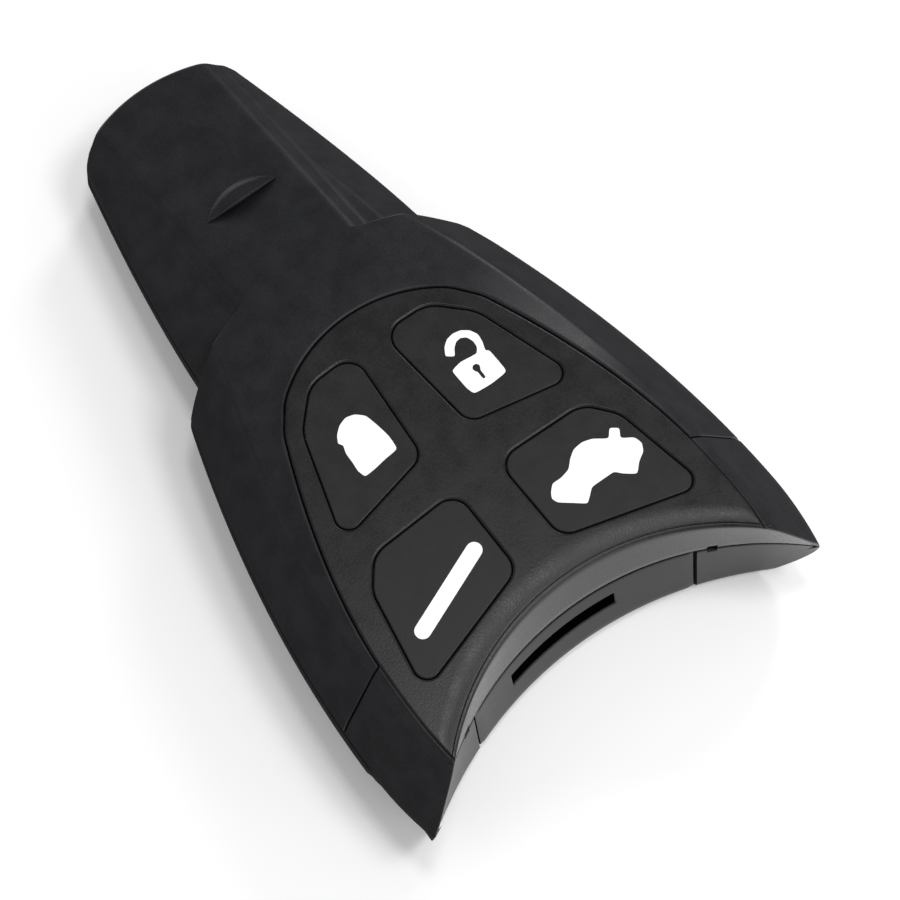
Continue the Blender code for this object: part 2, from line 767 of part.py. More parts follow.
def transponder_cradle():
    """A rib under the transponder."""
    return block("transponder_rib", (-RIB / 2, RIB / 2),
                 (TRANSPONDER_AT - TRANSPONDER_WIDTH / 2, TRANSPONDER_AT + TRANSPONDER_WIDTH / 2),
                 (bottom_height(TRANSPONDER_AT) + WALL / 2, TRANSPONDER_BOTTOM - FIT_GAP))


def button_cover(outer, inner, holder):
    """Lift-off cover: the shield with four key windows, the tail corners and the sloping band."""
    piece = copy_of(outer, "button_cover_work")
    keep_inside(piece, parting_side("cover_side", True))
    cut(piece, inner)
    keep_inside(piece, plan_solid("cover_plan", cover_outline(), -MARGIN, THICKNESS + MARGIN))
    pocket = plan_solid("cover_pocket", offset_outline(shield_outline(), 2 * FIT_GAP),
                        -MARGIN, PANEL_UNDERSIDE)
    cut(pocket, tail_cutter("pocket_tail", WALL))
    cut(piece, pocket)
    for name, outline, _ in key_places():
        cut(piece, plan_solid(name + "_window", offset_outline(outline, FIT_GAP),
                              MAT_BOTTOM, THICKNESS + MARGIN))
    for side in (-1, 1):
        line = [(side * x, s) for x, s in bezel_side(0.0, SPLIT_AT + FIT_GAP, 8)]
        band = line + [(x + side * STYLE_GROOVE, s) for x, s in reversed(line)]
        cut(piece, plan_solid("style_groove", band, THICKNESS - STYLE_GROOVE, THICKNESS + MARGIN))
        cut(piece, block("pry_notch", sorted((side * PRY_NOTCH_AT, side * (PRY_NOTCH_AT + PRY_NOTCH))),
                         (-MARGIN, SPLIT_AT - WALL), (0.0, PARTING_HEIGHT + PRY_NOTCH / 2)))
        inner_edge = BOARD_HALF + 2 * FIT_GAP
        hook = block("hook", sorted((side * inner_edge, side * (inner_edge + HOOK_THICKNESS))),
                     (SPLIT_AT - HOOK_WIDTH - FIT_GAP, SPLIT_AT - FIT_GAP),
                     (PARTING_HEIGHT - HOOK_DEPTH, PANEL_UNDERSIDE + WALL / 2))
        join(piece, hook)
    return finish(piece, "button_cover", material("cover_black", COVER_BLACK), holder)


def blade_guide(outer, inner, holder):
    """Middle of the tail wall with the blade slot, and the channel behind it."""
    piece = copy_of(outer, "blade_guide_work")
    keep_inside(piece, parting_side("guide_side", False))
    cut(piece, inner)
    half = GUIDE_FACE_HALF - FIT_GAP
    keep_inside(piece, block("guide_face", (-half, half), (-MARGIN, NOTCH_END - FIT_GAP),
                             (-MARGIN, THICKNESS)))
    slot_high = BLADE_FLOOR + SLOT_HEIGHT
    slot_sides = (SLOT_SIDE - SLOT_WIDTH / 2, SLOT_SIDE + SLOT_WIDTH / 2)
    mouth = (slot_sides[0] - GUIDE_WALL, slot_sides[1] + GUIDE_WALL)
    behind_face = TAIL_BOTTOM_APEX + WALL / 2
    head = block("guide_head", mouth, (behind_face, HEAD_END), (GUIDE_BOTTOM, slot_high + GUIDE_WALL))
    foot = block("guide_foot", mouth, (behind_face, NOTCH_END - FIT_GAP), (FLOOR / 2, BLADE_FLOOR / 2))
    tail = tail_cutter("guide_tail", WALL / 2)
    cut(head, tail)
    cut(foot, tail)
    channel_half = BLADE_WIDTH / 2 + GUIDE_WALL
    channel = block("channel", (-channel_half, channel_half), (HEAD_END - WALL / 2, BLADE_END + GUIDE_WALL),
                    (GUIDE_BOTTOM, GUIDE_TOP))
    ears = block("spring_ears", (-SPRING_X - SPRING_EAR / 2, SPRING_X + SPRING_EAR / 2),
                 (RELEASE_AT - SPRING_EAR / 2, RELEASE_AT + SPRING_EAR / 2), (SPRING_CEILING, GUIDE_TOP))
    join(piece, head, foot, channel, ears)
    cut(piece, block("slot", slot_sides, (-MARGIN, HEAD_END - GUIDE_WALL), (BLADE_FLOOR, slot_high)))
    cut(piece, block("blade_way", (-BLADE_WIDTH / 2, BLADE_WIDTH / 2),
                     (HEAD_END - 2 * GUIDE_WALL, BLADE_END), (BLADE_FLOOR, BLADE_FLOOR + BLADE_HEIGHT)))
    ring = RELEASE_RADIUS + FIT_GAP + LATCH_RING + FIT_GAP
    cut(piece, block("release_window", (-REACH, REACH), (HEAD_END, RELEASE_AT + ring),
                     (0.0, PLATE_LIMIT)))
    cut(piece, block("tooth_window", (-TOOTH_HALF - FIT_GAP, TOOTH_HALF + FIT_GAP),
                     (ARM_AT - FIT_GAP, ARM_AT + LATCH_BAR + FIT_GAP),
                     (BLADE_FLOOR + BLADE_HEIGHT / 2, THICKNESS)))
    return finish(piece, "blade_guide", material("guide_black", GUIDE_BLACK), holder)


# Keys

def keypad_mat(holder):
    """Rubber mat clamped between the cover and the ledge, with a window round each key."""
    piece = plan_solid("keypad_mat_work", offset_outline(shield_outline(), -2 * FIT_GAP),
                       MAT_BOTTOM, MAT_TOP)
    cut(piece, tail_cutter("mat_tail", WALL + 2 * FIT_GAP))
    for name, outline, _ in key_places():
        cut(piece, plan_solid(name + "_mat_window", offset_outline(outline, KEY_FLANGE + FIT_GAP),
                              0.0, THICKNESS))
    inner_edge = BOARD_HALF + FIT_GAP
    for side in (-1, 1):
        cut(piece, block("mat_relief", sorted((side * inner_edge, side * REACH)),
                         (-MARGIN, SPLIT_AT + FIT_GAP), (0.0, THICKNESS)))
    return finish(piece, "keypad_mat", material("mat_rubber", KEY_RUBBER), holder)


def key(name, outline, centre, holder):
    """One key with the flange that keeps it under the cover and the boss that presses its switch."""
    x, station = centre
    piece = plan_solid(name + "_work", outline, MAT_BOTTOM, THICKNESS - KEY_SINK)
    join(piece, plan_solid(name + "_flange", offset_outline(outline, KEY_FLANGE), MAT_BOTTOM, MAT_TOP))
    join(piece, rod(name + "_boss", BOSS_RADIUS, x, station, (BOSS_BOTTOM, MAT_TOP), 20))
    return finish(piece, name + "_button", material(name + "_key_rubber", KEY_RUBBER), holder,
                  (x, place(station), THICKNESS))


# Electronics

def board_half(station):
    """Half-width of the circuit board inside the flanks and the shoulder."""
    middle = SHOULDER_APEX - SHOULDER_RADIUS
    crown = SHOULDER_RADIUS - WALL - 2 * FIT_GAP
    arch = math.sqrt(max(crown ** 2 - max(station - middle, 0.0) ** 2, 0.0))
    return min(BOARD_HALF, body_half(station) - BOARD_MARGIN, arch)


def circuit_board(holder):
    high = SHOULDER_APEX - WALL - 4 * FIT_GAP
    steps = 16
    right = []
    for k in range(steps + 1):
        station = high * (1 - (k / steps) ** 2)
        right.append((board_half(station), station))
    piece = plan_solid("circuit_board_work", both_sides(right), BOARD_BOTTOM, BOARD_TOP)
    cut(piece, tail_cutter("board_tail", WALL + 2 * FIT_GAP))
    return finish(piece, "circuit_board", material("board_green", BOARD_GREEN), holder)


def tact_switch(name, centre, holder):
    """A switch housing open at the top, and the plunger in it."""
    x, station = centre
    half = SWITCH_SIDE / 2
    piece = block(name + "_housing", (x - half, x + half), (station - half, station + half),
                  (SWITCH_BOTTOM, SWITCH_TOP))
    cut(piece, rod(name + "_bore", PLUNGER_RADIUS + FIT_GAP, x, station, (0.0, THICKNESS)))
    finish(piece, name + "_switch", material(name + "_switch_steel", STEEL), holder)
    pin = rod(name + "_pin", PLUNGER_RADIUS, x, station, (PLUNGER_TOP - PLUNGER_LENGTH, PLUNGER_TOP), 20)
    finish(pin, name + "_plunger", material(name + "_plunger_black", CHIP_BLACK), holder,
           (x, place(station), PLUNGER_TOP))


def board_parts(holder):
    """The controller and the crystal on the board."""
    half = CHIP_SIDE / 2
    low = BOARD_TOP + FIT_GAP
    front = COVER_APEX - LEDGE_WIDTH - WALL
    controller = block("controller_work", (-half, half), (front - CHIP_SIDE, front),
                       (low, low + CHIP_HEIGHT))
    finish(controller, "controller_chip", material("chip_black", CHIP_BLACK), holder)
    station = (UPPER_SWITCH[1] + LOWER_SWITCH[1]) / 2
    crystal = block("crystal_work", (-CRYSTAL_LENGTH / 2, CRYSTAL_LENGTH / 2),
                    (station - CRYSTAL_WIDTH / 2, station + CRYSTAL_WIDTH / 2),
                    (low, low + CHIP_HEIGHT))
    finish(crystal, "crystal", material("crystal_steel", STEEL), holder)


def coin_cell(holder):
    """The cell as a turned can with a rounded rim."""
    flat = CELL_RADIUS - CELL_EDGE
    profile = [(0.0, CELL_TOP), (flat, CELL_TOP), (CELL_RADIUS, CELL_TOP - CELL_EDGE),
               (CELL_RADIUS, CELL_BOTTOM + CELL_EDGE), (flat, CELL_BOTTOM), (0.0, CELL_BOTTOM)]
    mesh = bpy.data.meshes.new("cell_profile")
    mesh.from_pydata([(r, 0.0, z) for r, z in profile], [(i, i + 1) for i in range(5)], [])
    piece = add_mesh("cell_work", mesh)
    piece.location = (0.0, place(CELL_AT), 0.0)
    turn = piece.modifiers.new("turned", "SCREW")
    turn.steps = 40
    turn.render_steps = 40
    turn.use_merge_vertices = True
    turn.merge_threshold = WELD
    return finish(piece, "coin_cell", material("cell_steel", STEEL), holder)


def cell_contacts(holder):
    """Bent strips: one at the can's side and one under its base."""
    side = CELL_RADIUS + FIT_GAP
    thick = CONTACT_THICKNESS
    top = BOARD_BOTTOM - FIT_GAP
    foot = side + thick + CONTACT_WIDTH
    positive = [(side, CELL_BOTTOM + thick), (side + thick, CELL_BOTTOM + thick),
                (side + thick, top - thick), (foot, top - thick), (foot, top), (side, top)]
    low = CELL_BOTTOM - FIT_GAP
    inner = BLADE_WIDTH / 2 + GUIDE_WALL + FIT_GAP
    negative = [(-side, top), (-foot, top), (-foot, top - thick), (-side - thick, top - thick),
                (-side - thick, low - thick), (-inner, low - thick), (-inner, low), (-side, low)]
    for name, outline in (("positive_contact", positive), ("negative_contact", negative)):
        strip = flat_solid(name + "_work", outline, -place(CELL_AT) - CONTACT_WIDTH / 2,
                           -place(CELL_AT) + CONTACT_WIDTH / 2, FRONT)
        finish(strip, name, material(name + "_brass", BRASS), holder)


def aerial(holder):
    """Ferrite core with its winding, lying across the nose."""
    half = CORE_SIDE / 2
    core = block("core_work", (-CORE_LENGTH / 2, CORE_LENGTH / 2), (CORE_AT - half, CORE_AT + half),
                 (CORE_HEIGHT - half, CORE_HEIGHT + half))
    finish(core, "aerial_core", material("ferrite", FERRITE), holder)
    inside = half + FIT_GAP
    outside = inside + WINDING_THICKNESS
    winding = block("winding_work", (-WINDING_LENGTH / 2, WINDING_LENGTH / 2),
                    (CORE_AT - outside, CORE_AT + outside),
                    (CORE_HEIGHT - outside, CORE_HEIGHT + outside))
    bevel = winding.modifiers.new("rounded", "BEVEL")
    bevel.width = WINDING_THICKNESS
    bevel.segments = 2
    bevel.affect = "EDGES"
    cut(winding, block("winding_bore", (-WINDING_LENGTH, WINDING_LENGTH),
                       (CORE_AT - inside, CORE_AT + inside), (CORE_HEIGHT - inside, CORE_HEIGHT + inside)))
    finish(winding, "aerial_winding", material("winding_copper", COPPER), holder)


def transponder(holder):
    half = TRANSPONDER_LENGTH / 2
    piece = block("transponder_work", (-half, half),
                  (TRANSPONDER_AT - TRANSPONDER_WIDTH / 2, TRANSPONDER_AT + TRANSPONDER_WIDTH / 2),
                  (TRANSPONDER_BOTTOM, TRANSPONDER_BOTTOM + TRANSPONDER_HEIGHT))
    bevel = piece.modifiers.new("eased", "BEVEL")
    bevel.width = TRANSPONDER_HEIGHT / 5
    bevel.segments = 2
    finish(piece, "transponder", material("transponder_black", CHIP_BLACK), holder)


# Blade latch

def release_button(holder):
    """Plain round button, a little below the back."""
    piece = rod("release_work", RELEASE_RADIUS, 0.0, RELEASE_AT, (RELEASE_RECESS, PLATE_TOP), 40)
    bevel = piece.modifiers.new("eased", "BEVEL")
    bevel.width = RELEASE_RECESS / 2
    bevel.segments = 2
    bevel.limit_method = "ANGLE"
    return finish(piece, "release_button", material("release_black", GUIDE_BLACK), holder,
                  (0.0, place(RELEASE_AT), RELEASE_RECESS))


def blade_latch(holder):
    """Plate round the release button, two arms past the channel and the bar with the tooth."""
    hole = RELEASE_RADIUS + FIT_GAP
    piece = rod("latch_work", hole + LATCH_RING, 0.0, RELEASE_AT, (PLATE_BOTTOM, PLATE_TOP), 40)
    channel_half = BLADE_WIDTH / 2 + GUIDE_WALL + FIT_GAP
    outer = channel_half + LATCH_ARM
    along = (ARM_AT, ARM_AT + LATCH_BAR)
    join(piece, block("latch_bridge", (-outer, outer), along, (PLATE_BOTTOM, PLATE_TOP)))
    join(piece, block("latch_ears", (-SPRING_X - SPRING_EAR / 2, SPRING_X + SPRING_EAR / 2),
                      (RELEASE_AT - SPRING_EAR / 2, RELEASE_AT + SPRING_EAR / 2),
                      (PLATE_BOTTOM, PLATE_TOP)))
    bar_low = GUIDE_TOP + FIT_GAP
    for side in (-1, 1):
        join(piece, block("latch_arm", sorted((side * channel_half, side * outer)), along,
                          (PLATE_BOTTOM, bar_low + LATCH_ARM)))
    join(piece, block("latch_bar", (-outer, outer), along, (bar_low, bar_low + LATCH_ARM)))
    tooth = [(place(along[0]), bar_low + LATCH_ARM / 2), (place(along[1]), bar_low + LATCH_ARM / 2),
             (place(along[1]), TOOTH_LOW), (place(along[1]) - LATCH_BAR / 3, TOOTH_LOW)]
    join(piece, flat_solid("latch_tooth", tooth, -TOOTH_HALF, TOOTH_HALF, SIDE))
    cut(piece, rod("latch_hole", hole, 0.0, RELEASE_AT, (0.0, PLATE_LIMIT), 40))
    return finish(piece, "blade_latch", material("latch_black", GUIDE_BLACK), holder,
                  (0.0, place(RELEASE_AT), PLATE_BOTTOM))


def release_spring(name, x, holder):
    """Coil between the latch's ear and the guide's ear."""
    low = PLATE_TOP + FIT_GAP + SPRING_WIRE / 2
    high = SPRING_CEILING - FIT_GAP - SPRING_WIRE / 2
    curve = bpy.data.curves.new(name, "CURVE")
    curve.dimensions = "3D"
    curve.bevel_depth = SPRING_WIRE / 2
    curve.bevel_resolution = 1
    curve.use_fill_caps = True
    count = int(SPRING_TURNS * 12) + 1
    spline = curve.splines.new("POLY")
    spline.points.add(count - 1)
    points = []
    for k in range(count):
        part = k / (count - 1)
        angle = 2 * math.pi * SPRING_TURNS * part
        points.append(Vector((x + SPRING_RADIUS * math.cos(angle),
                              place(RELEASE_AT) + SPRING_RADIUS * math.sin(angle),
                              low + (high - low) * part)))
    for knot, point in zip(spline.points, points):
        knot.co = (*point, 1.0)
    print(name, "least gap between turns", round((high - low) / SPRING_TURNS - SPRING_WIRE, 5))
    coil = bpy.data.objects.new(name + "_wire", curve)
    CUTTERS.objects.link(coil)
    done = finish(coil, name, material(name + "_steel", SPRING_STEEL), holder)
    bpy.data.objects.remove(coil, do_unlink=True)
    return done


# Heights in the nose, halfway up it and above its floor
CORE_HEIGHT = (bottom_height(CORE_AT) + top_height(CORE_AT)) / 2
TRANSPONDER_BOTTOM = bottom_height(TRANSPONDER_AT) + WALL + 4 * FIT_GAP


def build():
    outer = fob_form("outer_form", 0.0)
    middle = fob_form("middle_form", WALL / 2)
    inner = fob_form("inner_form", WALL)
    case = frame_empty("case_frame")
    cover = frame_empty("cover_frame")
    release = frame_empty("release_frame")
    front_shell(outer, middle, inner, case)
    rear_shell(outer, inner, case)
    blade_guide(outer, inner, case)
    button_cover(outer, inner, cover)
    keypad_mat(cover)
    for name, outline, centre in key_places():
        key(name, outline, centre, cover)
        tact_switch(name, centre, case)
    circuit_board(case)
    board_parts(case)
    coin_cell(case)
    cell_contacts(case)
    aerial(case)
    transponder(case)
    release_button(release)
    blade_latch(release)
    release_spring("release_spring_left", -SPRING_X, case)
    release_spring("release_spring_right", SPRING_X, case)


clear_scene()
FOB = new_collection("key_fob_shell")
CUTTERS = new_collection("cutters")
build()
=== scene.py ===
"""Looks of the wedge-shaped remote key: softened mouldings, printed marks, materials and a studio."""

import math
from functools import partialmethod

import bmesh
import bpy
from mathutils import Matrix, Vector
from mathutils.bvhtree import BVHTree
from mathutils.geometry import intersect_line_line_2d, tessellate_polygon


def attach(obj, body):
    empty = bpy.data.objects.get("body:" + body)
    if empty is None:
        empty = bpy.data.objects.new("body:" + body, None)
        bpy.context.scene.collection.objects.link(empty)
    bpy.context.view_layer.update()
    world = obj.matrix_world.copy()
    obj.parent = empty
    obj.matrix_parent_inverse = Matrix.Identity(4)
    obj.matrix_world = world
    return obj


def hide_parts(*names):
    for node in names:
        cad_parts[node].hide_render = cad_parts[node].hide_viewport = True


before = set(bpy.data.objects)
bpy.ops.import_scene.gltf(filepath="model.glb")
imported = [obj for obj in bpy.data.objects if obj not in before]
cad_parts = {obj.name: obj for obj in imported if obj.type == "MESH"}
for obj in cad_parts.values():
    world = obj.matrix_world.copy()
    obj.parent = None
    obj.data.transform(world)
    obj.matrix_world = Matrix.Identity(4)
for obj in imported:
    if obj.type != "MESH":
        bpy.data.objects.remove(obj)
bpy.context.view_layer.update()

# Sizes of the fob, in metres, as its solids have them
LENGTH = 0.0860
THICKNESS = 0.0160
WALL = 0.0016
FIT_GAP = 0.0003
WIDEST_HALF = 0.0261
WIDEST_AT = 0.0090
TAIL_HALF = 0.0250
SHOULDER_HALF = 0.0180
SHOULDER_AT = 0.0527
FLANK_POWER = 1.9
SHOULDER_RADIUS = 0.0310
SHOULDER_APEX = 0.0572
NOSE_ROOT_HALF = 0.0156
NOSE_ROOT_AT = 0.0490
NOSE_TIP_HALF = 0.0109
NOSE_TIP_AT = 0.0807
NOSE_POWER = 1.5
NOSE_FLAT_HALF = 0.0072
TIP_RADIUS = 0.0175
PARTING_HEIGHT = 0.0093
PARTING_DROP = 0.0030
NOSE_DROP = 0.0060
TURN_RUN = 0.006
STRAIGHT_SHARE = 0.25
NOSE_LIFT = 0.0025
TAIL_TOP_APEX = 0.0118
TAIL_TOP_IN = 0.0022
TAIL_MIDDLE_APEX = 0.0106
TAIL_BOTTOM_APEX = 0.0088
TAIL_BOTTOM_OUT = 0.0011
TAIL_BOTTOM_ROUND = 0.0012
RIDGE_IN = 0.0048
RIDGE_DROP = 0.0009
WAIST_ROUND = 0.0009
NOSE_RIDGE_ROUND = 0.0045
WAIST_BAND = 0.0015
BACK_ROUND = 0.0065
FLUTE_WIDTH = 0.0016
FLUTE_DEPTH = 0.0014
COVER_APEX = 0.0480
COVER_CROWN = 0.0165
RIM_WIDTH = 0.0061
RIM_SPREAD = 0.0039
RIM_POWER = 1.6
SPLIT_AT = 0.0159
SPLIT_FALL = 0.30
PANEL_UNDERSIDE = THICKNESS - WALL
LEDGE_TOP = 0.0129
KEY_SINK = 0.0001
KEY_FLANGE = 0.0006
MAT_TOP = 0.0141
MAT_BOTTOM = 0.0132
BOSS_BOTTOM = 0.0129
BOSS_RADIUS = 0.0015
UPPER_KEY = ((0.0020, 0.0038, 0.0020), (-0.0032, 0.0040, 0.0035), (-0.0021, 0.0077, 0.0050),
             (-0.0026, 0.0194, 0.0013), (0.0031, 0.0169, 0.0018))
LOWER_KEY = ((0.0028, 0.0222, 0.0020), (-0.0050, 0.0226, 0.0030), (-0.0032, 0.0257, 0.0035),
             (-0.0023, 0.0367, 0.0013), (0.0029, 0.0323, 0.0020))
UPPER_SWITCH = (0.0080, 0.0365)
LOWER_SWITCH = (0.0100, 0.0190)
CRESCENT_AT = 0.0667
CRESCENT_HALF = 0.0046
CRESCENT_BULGE = 0.0026
CRESCENT_RISE = 0.0005
CRESCENT_DEPTH = 0.0008
CRESCENT_RUN = 0.0060
SCOOP_POWER = 2.2
HOOD_STEP = 0.0002
SLOT_SIDES = (-0.0083, 0.0055)
SLOT_LOW = 0.0047
SLOT_HIGH = 0.0069
SLOT_END = 0.0146
GUIDE_FACE_HALF = 0.0145
NOTCH_END = 0.0128
RELEASE_AT = 0.0220
RELEASE_RADIUS = 0.0047

# Softness of the moulded edges
BEZEL_EASE = 0.00022
SPLIT_EASE = 0.00022
STEP_EASE = 0.00030
TIP_EASE = 0.0006
TAIL_EASE = 0.00025
LIP_EASE = 0.00015
KEY_EASE = 0.00017
SLOT_EASE = 0.00018
GROOVE_HALF = 0.00024
CREST_RADIUS = 0.0017
LIP_DEPTH = 0.0013
LIP_REACH = 0.00025
LIP_SHARE = 0.4
NEAR = (0.0, 0.00003, 0.00008, 0.00015, 0.00023, 0.00035, 0.0005, 0.0008)
SEAM = 0.00016
TOUCHING = 0.0001
SPLIT_DEPTH = 0.0015
KEY_GROWTH = 0.00009
BEZEL_CORNER_AT = 0.0430
BEZEL_CORNER_RUN = 0.0016
BEZEL_CORNER_BLEND = 0.0009
SWITCH_STATION = 0.0445
SHOULDER_MIDDLE = SHOULDER_APEX - SHOULDER_RADIUS


# Form of the fob. A station, s, is a distance from the tail corners along the fob.

def clamped(value, low=0.0, high=1.0):
    return min(max(value, low), high)


def body_half(s):
    if s < WIDEST_AT:
        return WIDEST_HALF - (WIDEST_HALF - TAIL_HALF) * ((WIDEST_AT - s) / WIDEST_AT) ** 2
    part = (s - WIDEST_AT) / (SHOULDER_AT - WIDEST_AT)
    return WIDEST_HALF - (WIDEST_HALF - SHOULDER_HALF) * part ** FLANK_POWER


def nose_half(s):
    part = (s - NOSE_ROOT_AT) / (NOSE_TIP_AT - NOSE_ROOT_AT)
    return NOSE_ROOT_HALF - (NOSE_ROOT_HALF - NOSE_TIP_HALF) * clamped(part, 0.0, 1.05) ** NOSE_POWER


def taper(s):
    return max(s - COVER_APEX, 0.0) / (LENGTH - COVER_APEX)


def eased_taper(s):
    """The taper with its start drawn out, so that the top turns down gently."""
    rise = s - COVER_APEX
    if rise <= 0.0:
        return 0.0
    if rise < TURN_RUN:
        return rise * rise / (2 * TURN_RUN) / (LENGTH - COVER_APEX)
    return (rise - TURN_RUN / 2) / (LENGTH - COVER_APEX)


def top_height(s):
    return THICKNESS - NOSE_DROP * (STRAIGHT_SHARE * taper(s) + (1 - STRAIGHT_SHARE) * eased_taper(s))


def parting_height(s):
    return PARTING_HEIGHT - PARTING_DROP * taper(s)


def bottom_height(s):
    return NOSE_LIFT * taper(s) ** 2


def bezel_side(s):
    """Half-width of the cover's outline beside the keys."""
    part = max(s - SPLIT_AT, 0.0) / (COVER_APEX - SPLIT_AT)
    return body_half(s) - RIM_WIDTH - RIM_SPREAD * part ** RIM_POWER


def crown_half(s, grown):
    """Half-width of the round end of the cover's outline."""
    rise = s - (COVER_APEX - COVER_CROWN)
    return math.sqrt(max((COVER_CROWN + grown) ** 2 - rise ** 2, 0.0)) if rise > 0.0 else LENGTH


def soft_corner(side, crown, s):
    """The lesser of the two half-widths, with the corner where they meet rounded off."""
    blend = BEZEL_CORNER_BLEND * math.exp(-((s - BEZEL_CORNER_AT) / BEZEL_CORNER_RUN) ** 2)
    return max((side + crown - math.hypot(side - crown, blend)) / 2, 0.0)


def bezel_half(s, grown=0.0):
    """Half-width of the cover's outline, soft where its sides meet the crown."""
    return soft_corner(bezel_side(s) + grown, crown_half(s, grown), s)


def opening_line(s):
    """Half-width of the front shell's opening, a seam outside the cover's."""
    return bezel_half(s, SEAM)


def opening_half(s):
    """Half-width of the opening, or of the crown where columns run along it."""
    return SIDE_SWITCH if s > SWITCH_STATION else opening_line(s)


def softer_of(a, b, blend):
    """The larger of two values, with the change from one to the other drawn out."""
    return (a + b + math.sqrt((a - b) ** 2 + blend ** 2)) / 2


def corner_arc(corner, apex):
    return (corner ** 2 + apex ** 2) / (2 * apex)


def tail_station(x, z):
    """Where the hollow tail's surface is, across the fob and at a height."""
    level = max(z, TAIL_BOTTOM_ROUND)
    middle_radius = corner_arc(TAIL_HALF, TAIL_MIDDLE_APEX)
    if level > PARTING_HEIGHT:
        part = (level - PARTING_HEIGHT) / (THICKNESS - PARTING_HEIGHT)
        far, far_apex = corner_arc(TAIL_HALF - TAIL_TOP_IN, TAIL_TOP_APEX), TAIL_TOP_APEX
    else:
        part = (PARTING_HEIGHT - level) / (PARTING_HEIGHT - TAIL_BOTTOM_ROUND)
        far, far_apex = corner_arc(TAIL_HALF + TAIL_BOTTOM_OUT, TAIL_BOTTOM_APEX), TAIL_BOTTOM_APEX
    radius = middle_radius + (far - middle_radius) * part
    apex = TAIL_MIDDLE_APEX + (far_apex - TAIL_MIDDLE_APEX) * part
    under = clamped((TAIL_BOTTOM_ROUND - z) / TAIL_BOTTOM_ROUND)
    reach = radius + TAIL_BOTTOM_ROUND * (1 - math.sqrt(1 - under ** 2))
    return apex - radius + math.sqrt(reach ** 2 - x * x)


def shoulder_station(x):
    return SHOULDER_MIDDLE + math.sqrt(SHOULDER_RADIUS ** 2 - x * x)


def tip_station(x):
    return LENGTH - TIP_RADIUS + math.sqrt(TIP_RADIUS ** 2 - x * x)


def split_station(x):
    """The split line between the front shell and the cover's tail corner."""
    return SPLIT_AT - SPLIT_FALL * (x - bezel_half(SPLIT_AT))


def crown_station(x):
    """The front shell's opening above the crown of the cover."""
    low, high = 0.040, COVER_APEX + SEAM
    for _ in range(40):
        middle = (low + high) / 2
        low, high = (middle, high) if opening_line(middle) > x else (low, middle)
    return (low + high) / 2


def ease(distance, radius):
    """How far a rounded edge has dropped at a distance from the edge."""
    inside = radius - max(distance, 0.0)
    if inside <= 0.0:
        return 0.0
    return radius - math.sqrt(radius ** 2 - inside ** 2)


# Sections across the fob: lines whose places are counted in their points. WAIST_POINT is where
# the rounded back starts and BACK_POINT where the flat back does.

ARC_STEPS = 6
ARC_SHARE = 0.45
BACK_STEPS = 12
FLAT_SHORT = 0.0004
FLAT_BLEND = 0.0016
RIDGE_ROOM = 0.0011
BROW_ROOM = 0.0008
SECTION_CORNERS = 5
WAIST_POINT = SECTION_CORNERS * (ARC_STEPS + 1) + 1
BACK_POINT = WAIST_POINT + BACK_STEPS
SIDE_SWITCH = opening_line(SWITCH_STATION)


def softened(corners):
    """A line through corners, each (across, up, radius), with arcs for the corners between its ends."""
    line = [corners[0][:2]]
    for before, here, after in zip(corners, corners[1:], corners[2:]):
        spot = Vector(here[:2])
        back = Vector(before[:2]) - spot
        ahead = Vector(after[:2]) - spot
        turn = math.pi - back.angle(ahead)
        run = min(here[2] * math.tan(turn / 2), back.length * ARC_SHARE, ahead.length * ARC_SHARE)
        start = spot + back.normalized() * run
        end = spot + ahead.normalized() * run
        for k in range(ARC_STEPS + 1):
            part = k / ARC_STEPS
            line.append(tuple(start.lerp(spot, part).lerp(spot.lerp(end, part), part)))
    line.append(corners[-1][:2])
    return line


def section(s, half, corners_of):
    """Right half of a section, from the middle of the top to the middle of the back."""
    waist, floor = parting_height(s), bottom_height(s)
    line = softened([(0.0, top_height(s), 0.0)] + corners_of(half, top_height(s), waist)
                    + [(half, waist - WAIST_BAND, 0.0)])
    waist -= WAIST_BAND
    for k in range(1, BACK_STEPS + 1):
        angle = math.radians(90.0 * k / BACK_STEPS)
        line.append((half - BACK_ROUND * (1 - math.cos(angle)), waist - (waist - floor) * math.sin(angle)))
    return line + [(0.0, floor)]


def made_once(maker):
    """Lets a rule make its line once for each station, told apart to a tenth of a micrometre."""
    lines = {}

    def line_at(s):
        key = round(s, 7)
        if key not in lines:
            lines[key] = maker(s)
        return lines[key]
    return line_at


@made_once
def body_line(s):
    """Section of the body, with its flat top, soft ridge and waist. Its corners end in a radius."""
    def corners(half, top, waist):
        ridge = half - RIDGE_IN
        flat = softer_of(bezel_half(s), NOSE_FLAT_HALF - FLAT_SHORT, FLAT_BLEND) + FIT_GAP
        return [(min(flat, ridge - RIDGE_ROOM), top, 0.0012), (ridge, top - RIDGE_DROP * 0.8, CREST_RADIUS),
                (half - WAIST_ROUND, waist + WAIST_BAND, 0.0022),
                (half - WAIST_ROUND / 4, waist + WAIST_BAND / 4, 0.0016),
                (half, waist - WAIST_BAND / 2, 0.0012)]
    return section(s, body_half(s), corners)


@made_once
def nose_line(s):
    """Section of the nose, with the shallow flute beside its flat top."""
    def corners(half, top, waist):
        edge = min(NOSE_FLAT_HALF, half - 2 * FLUTE_WIDTH)
        brow = clamped(half - RIDGE_IN, edge + FLUTE_WIDTH, half - BROW_ROOM)
        return [(edge, top, NOSE_RIDGE_ROUND), (edge + FLUTE_WIDTH * 0.8, top - FLUTE_DEPTH * 0.78, 0.0016),
                (brow + 0.0003, top - FLUTE_DEPTH, 0.0014),
                (half - WAIST_ROUND / 2, waist + WAIST_BAND, 0.0020),
                (half, waist - WAIST_BAND / 2, 0.0014)]
    return section(s, nose_half(s), corners)


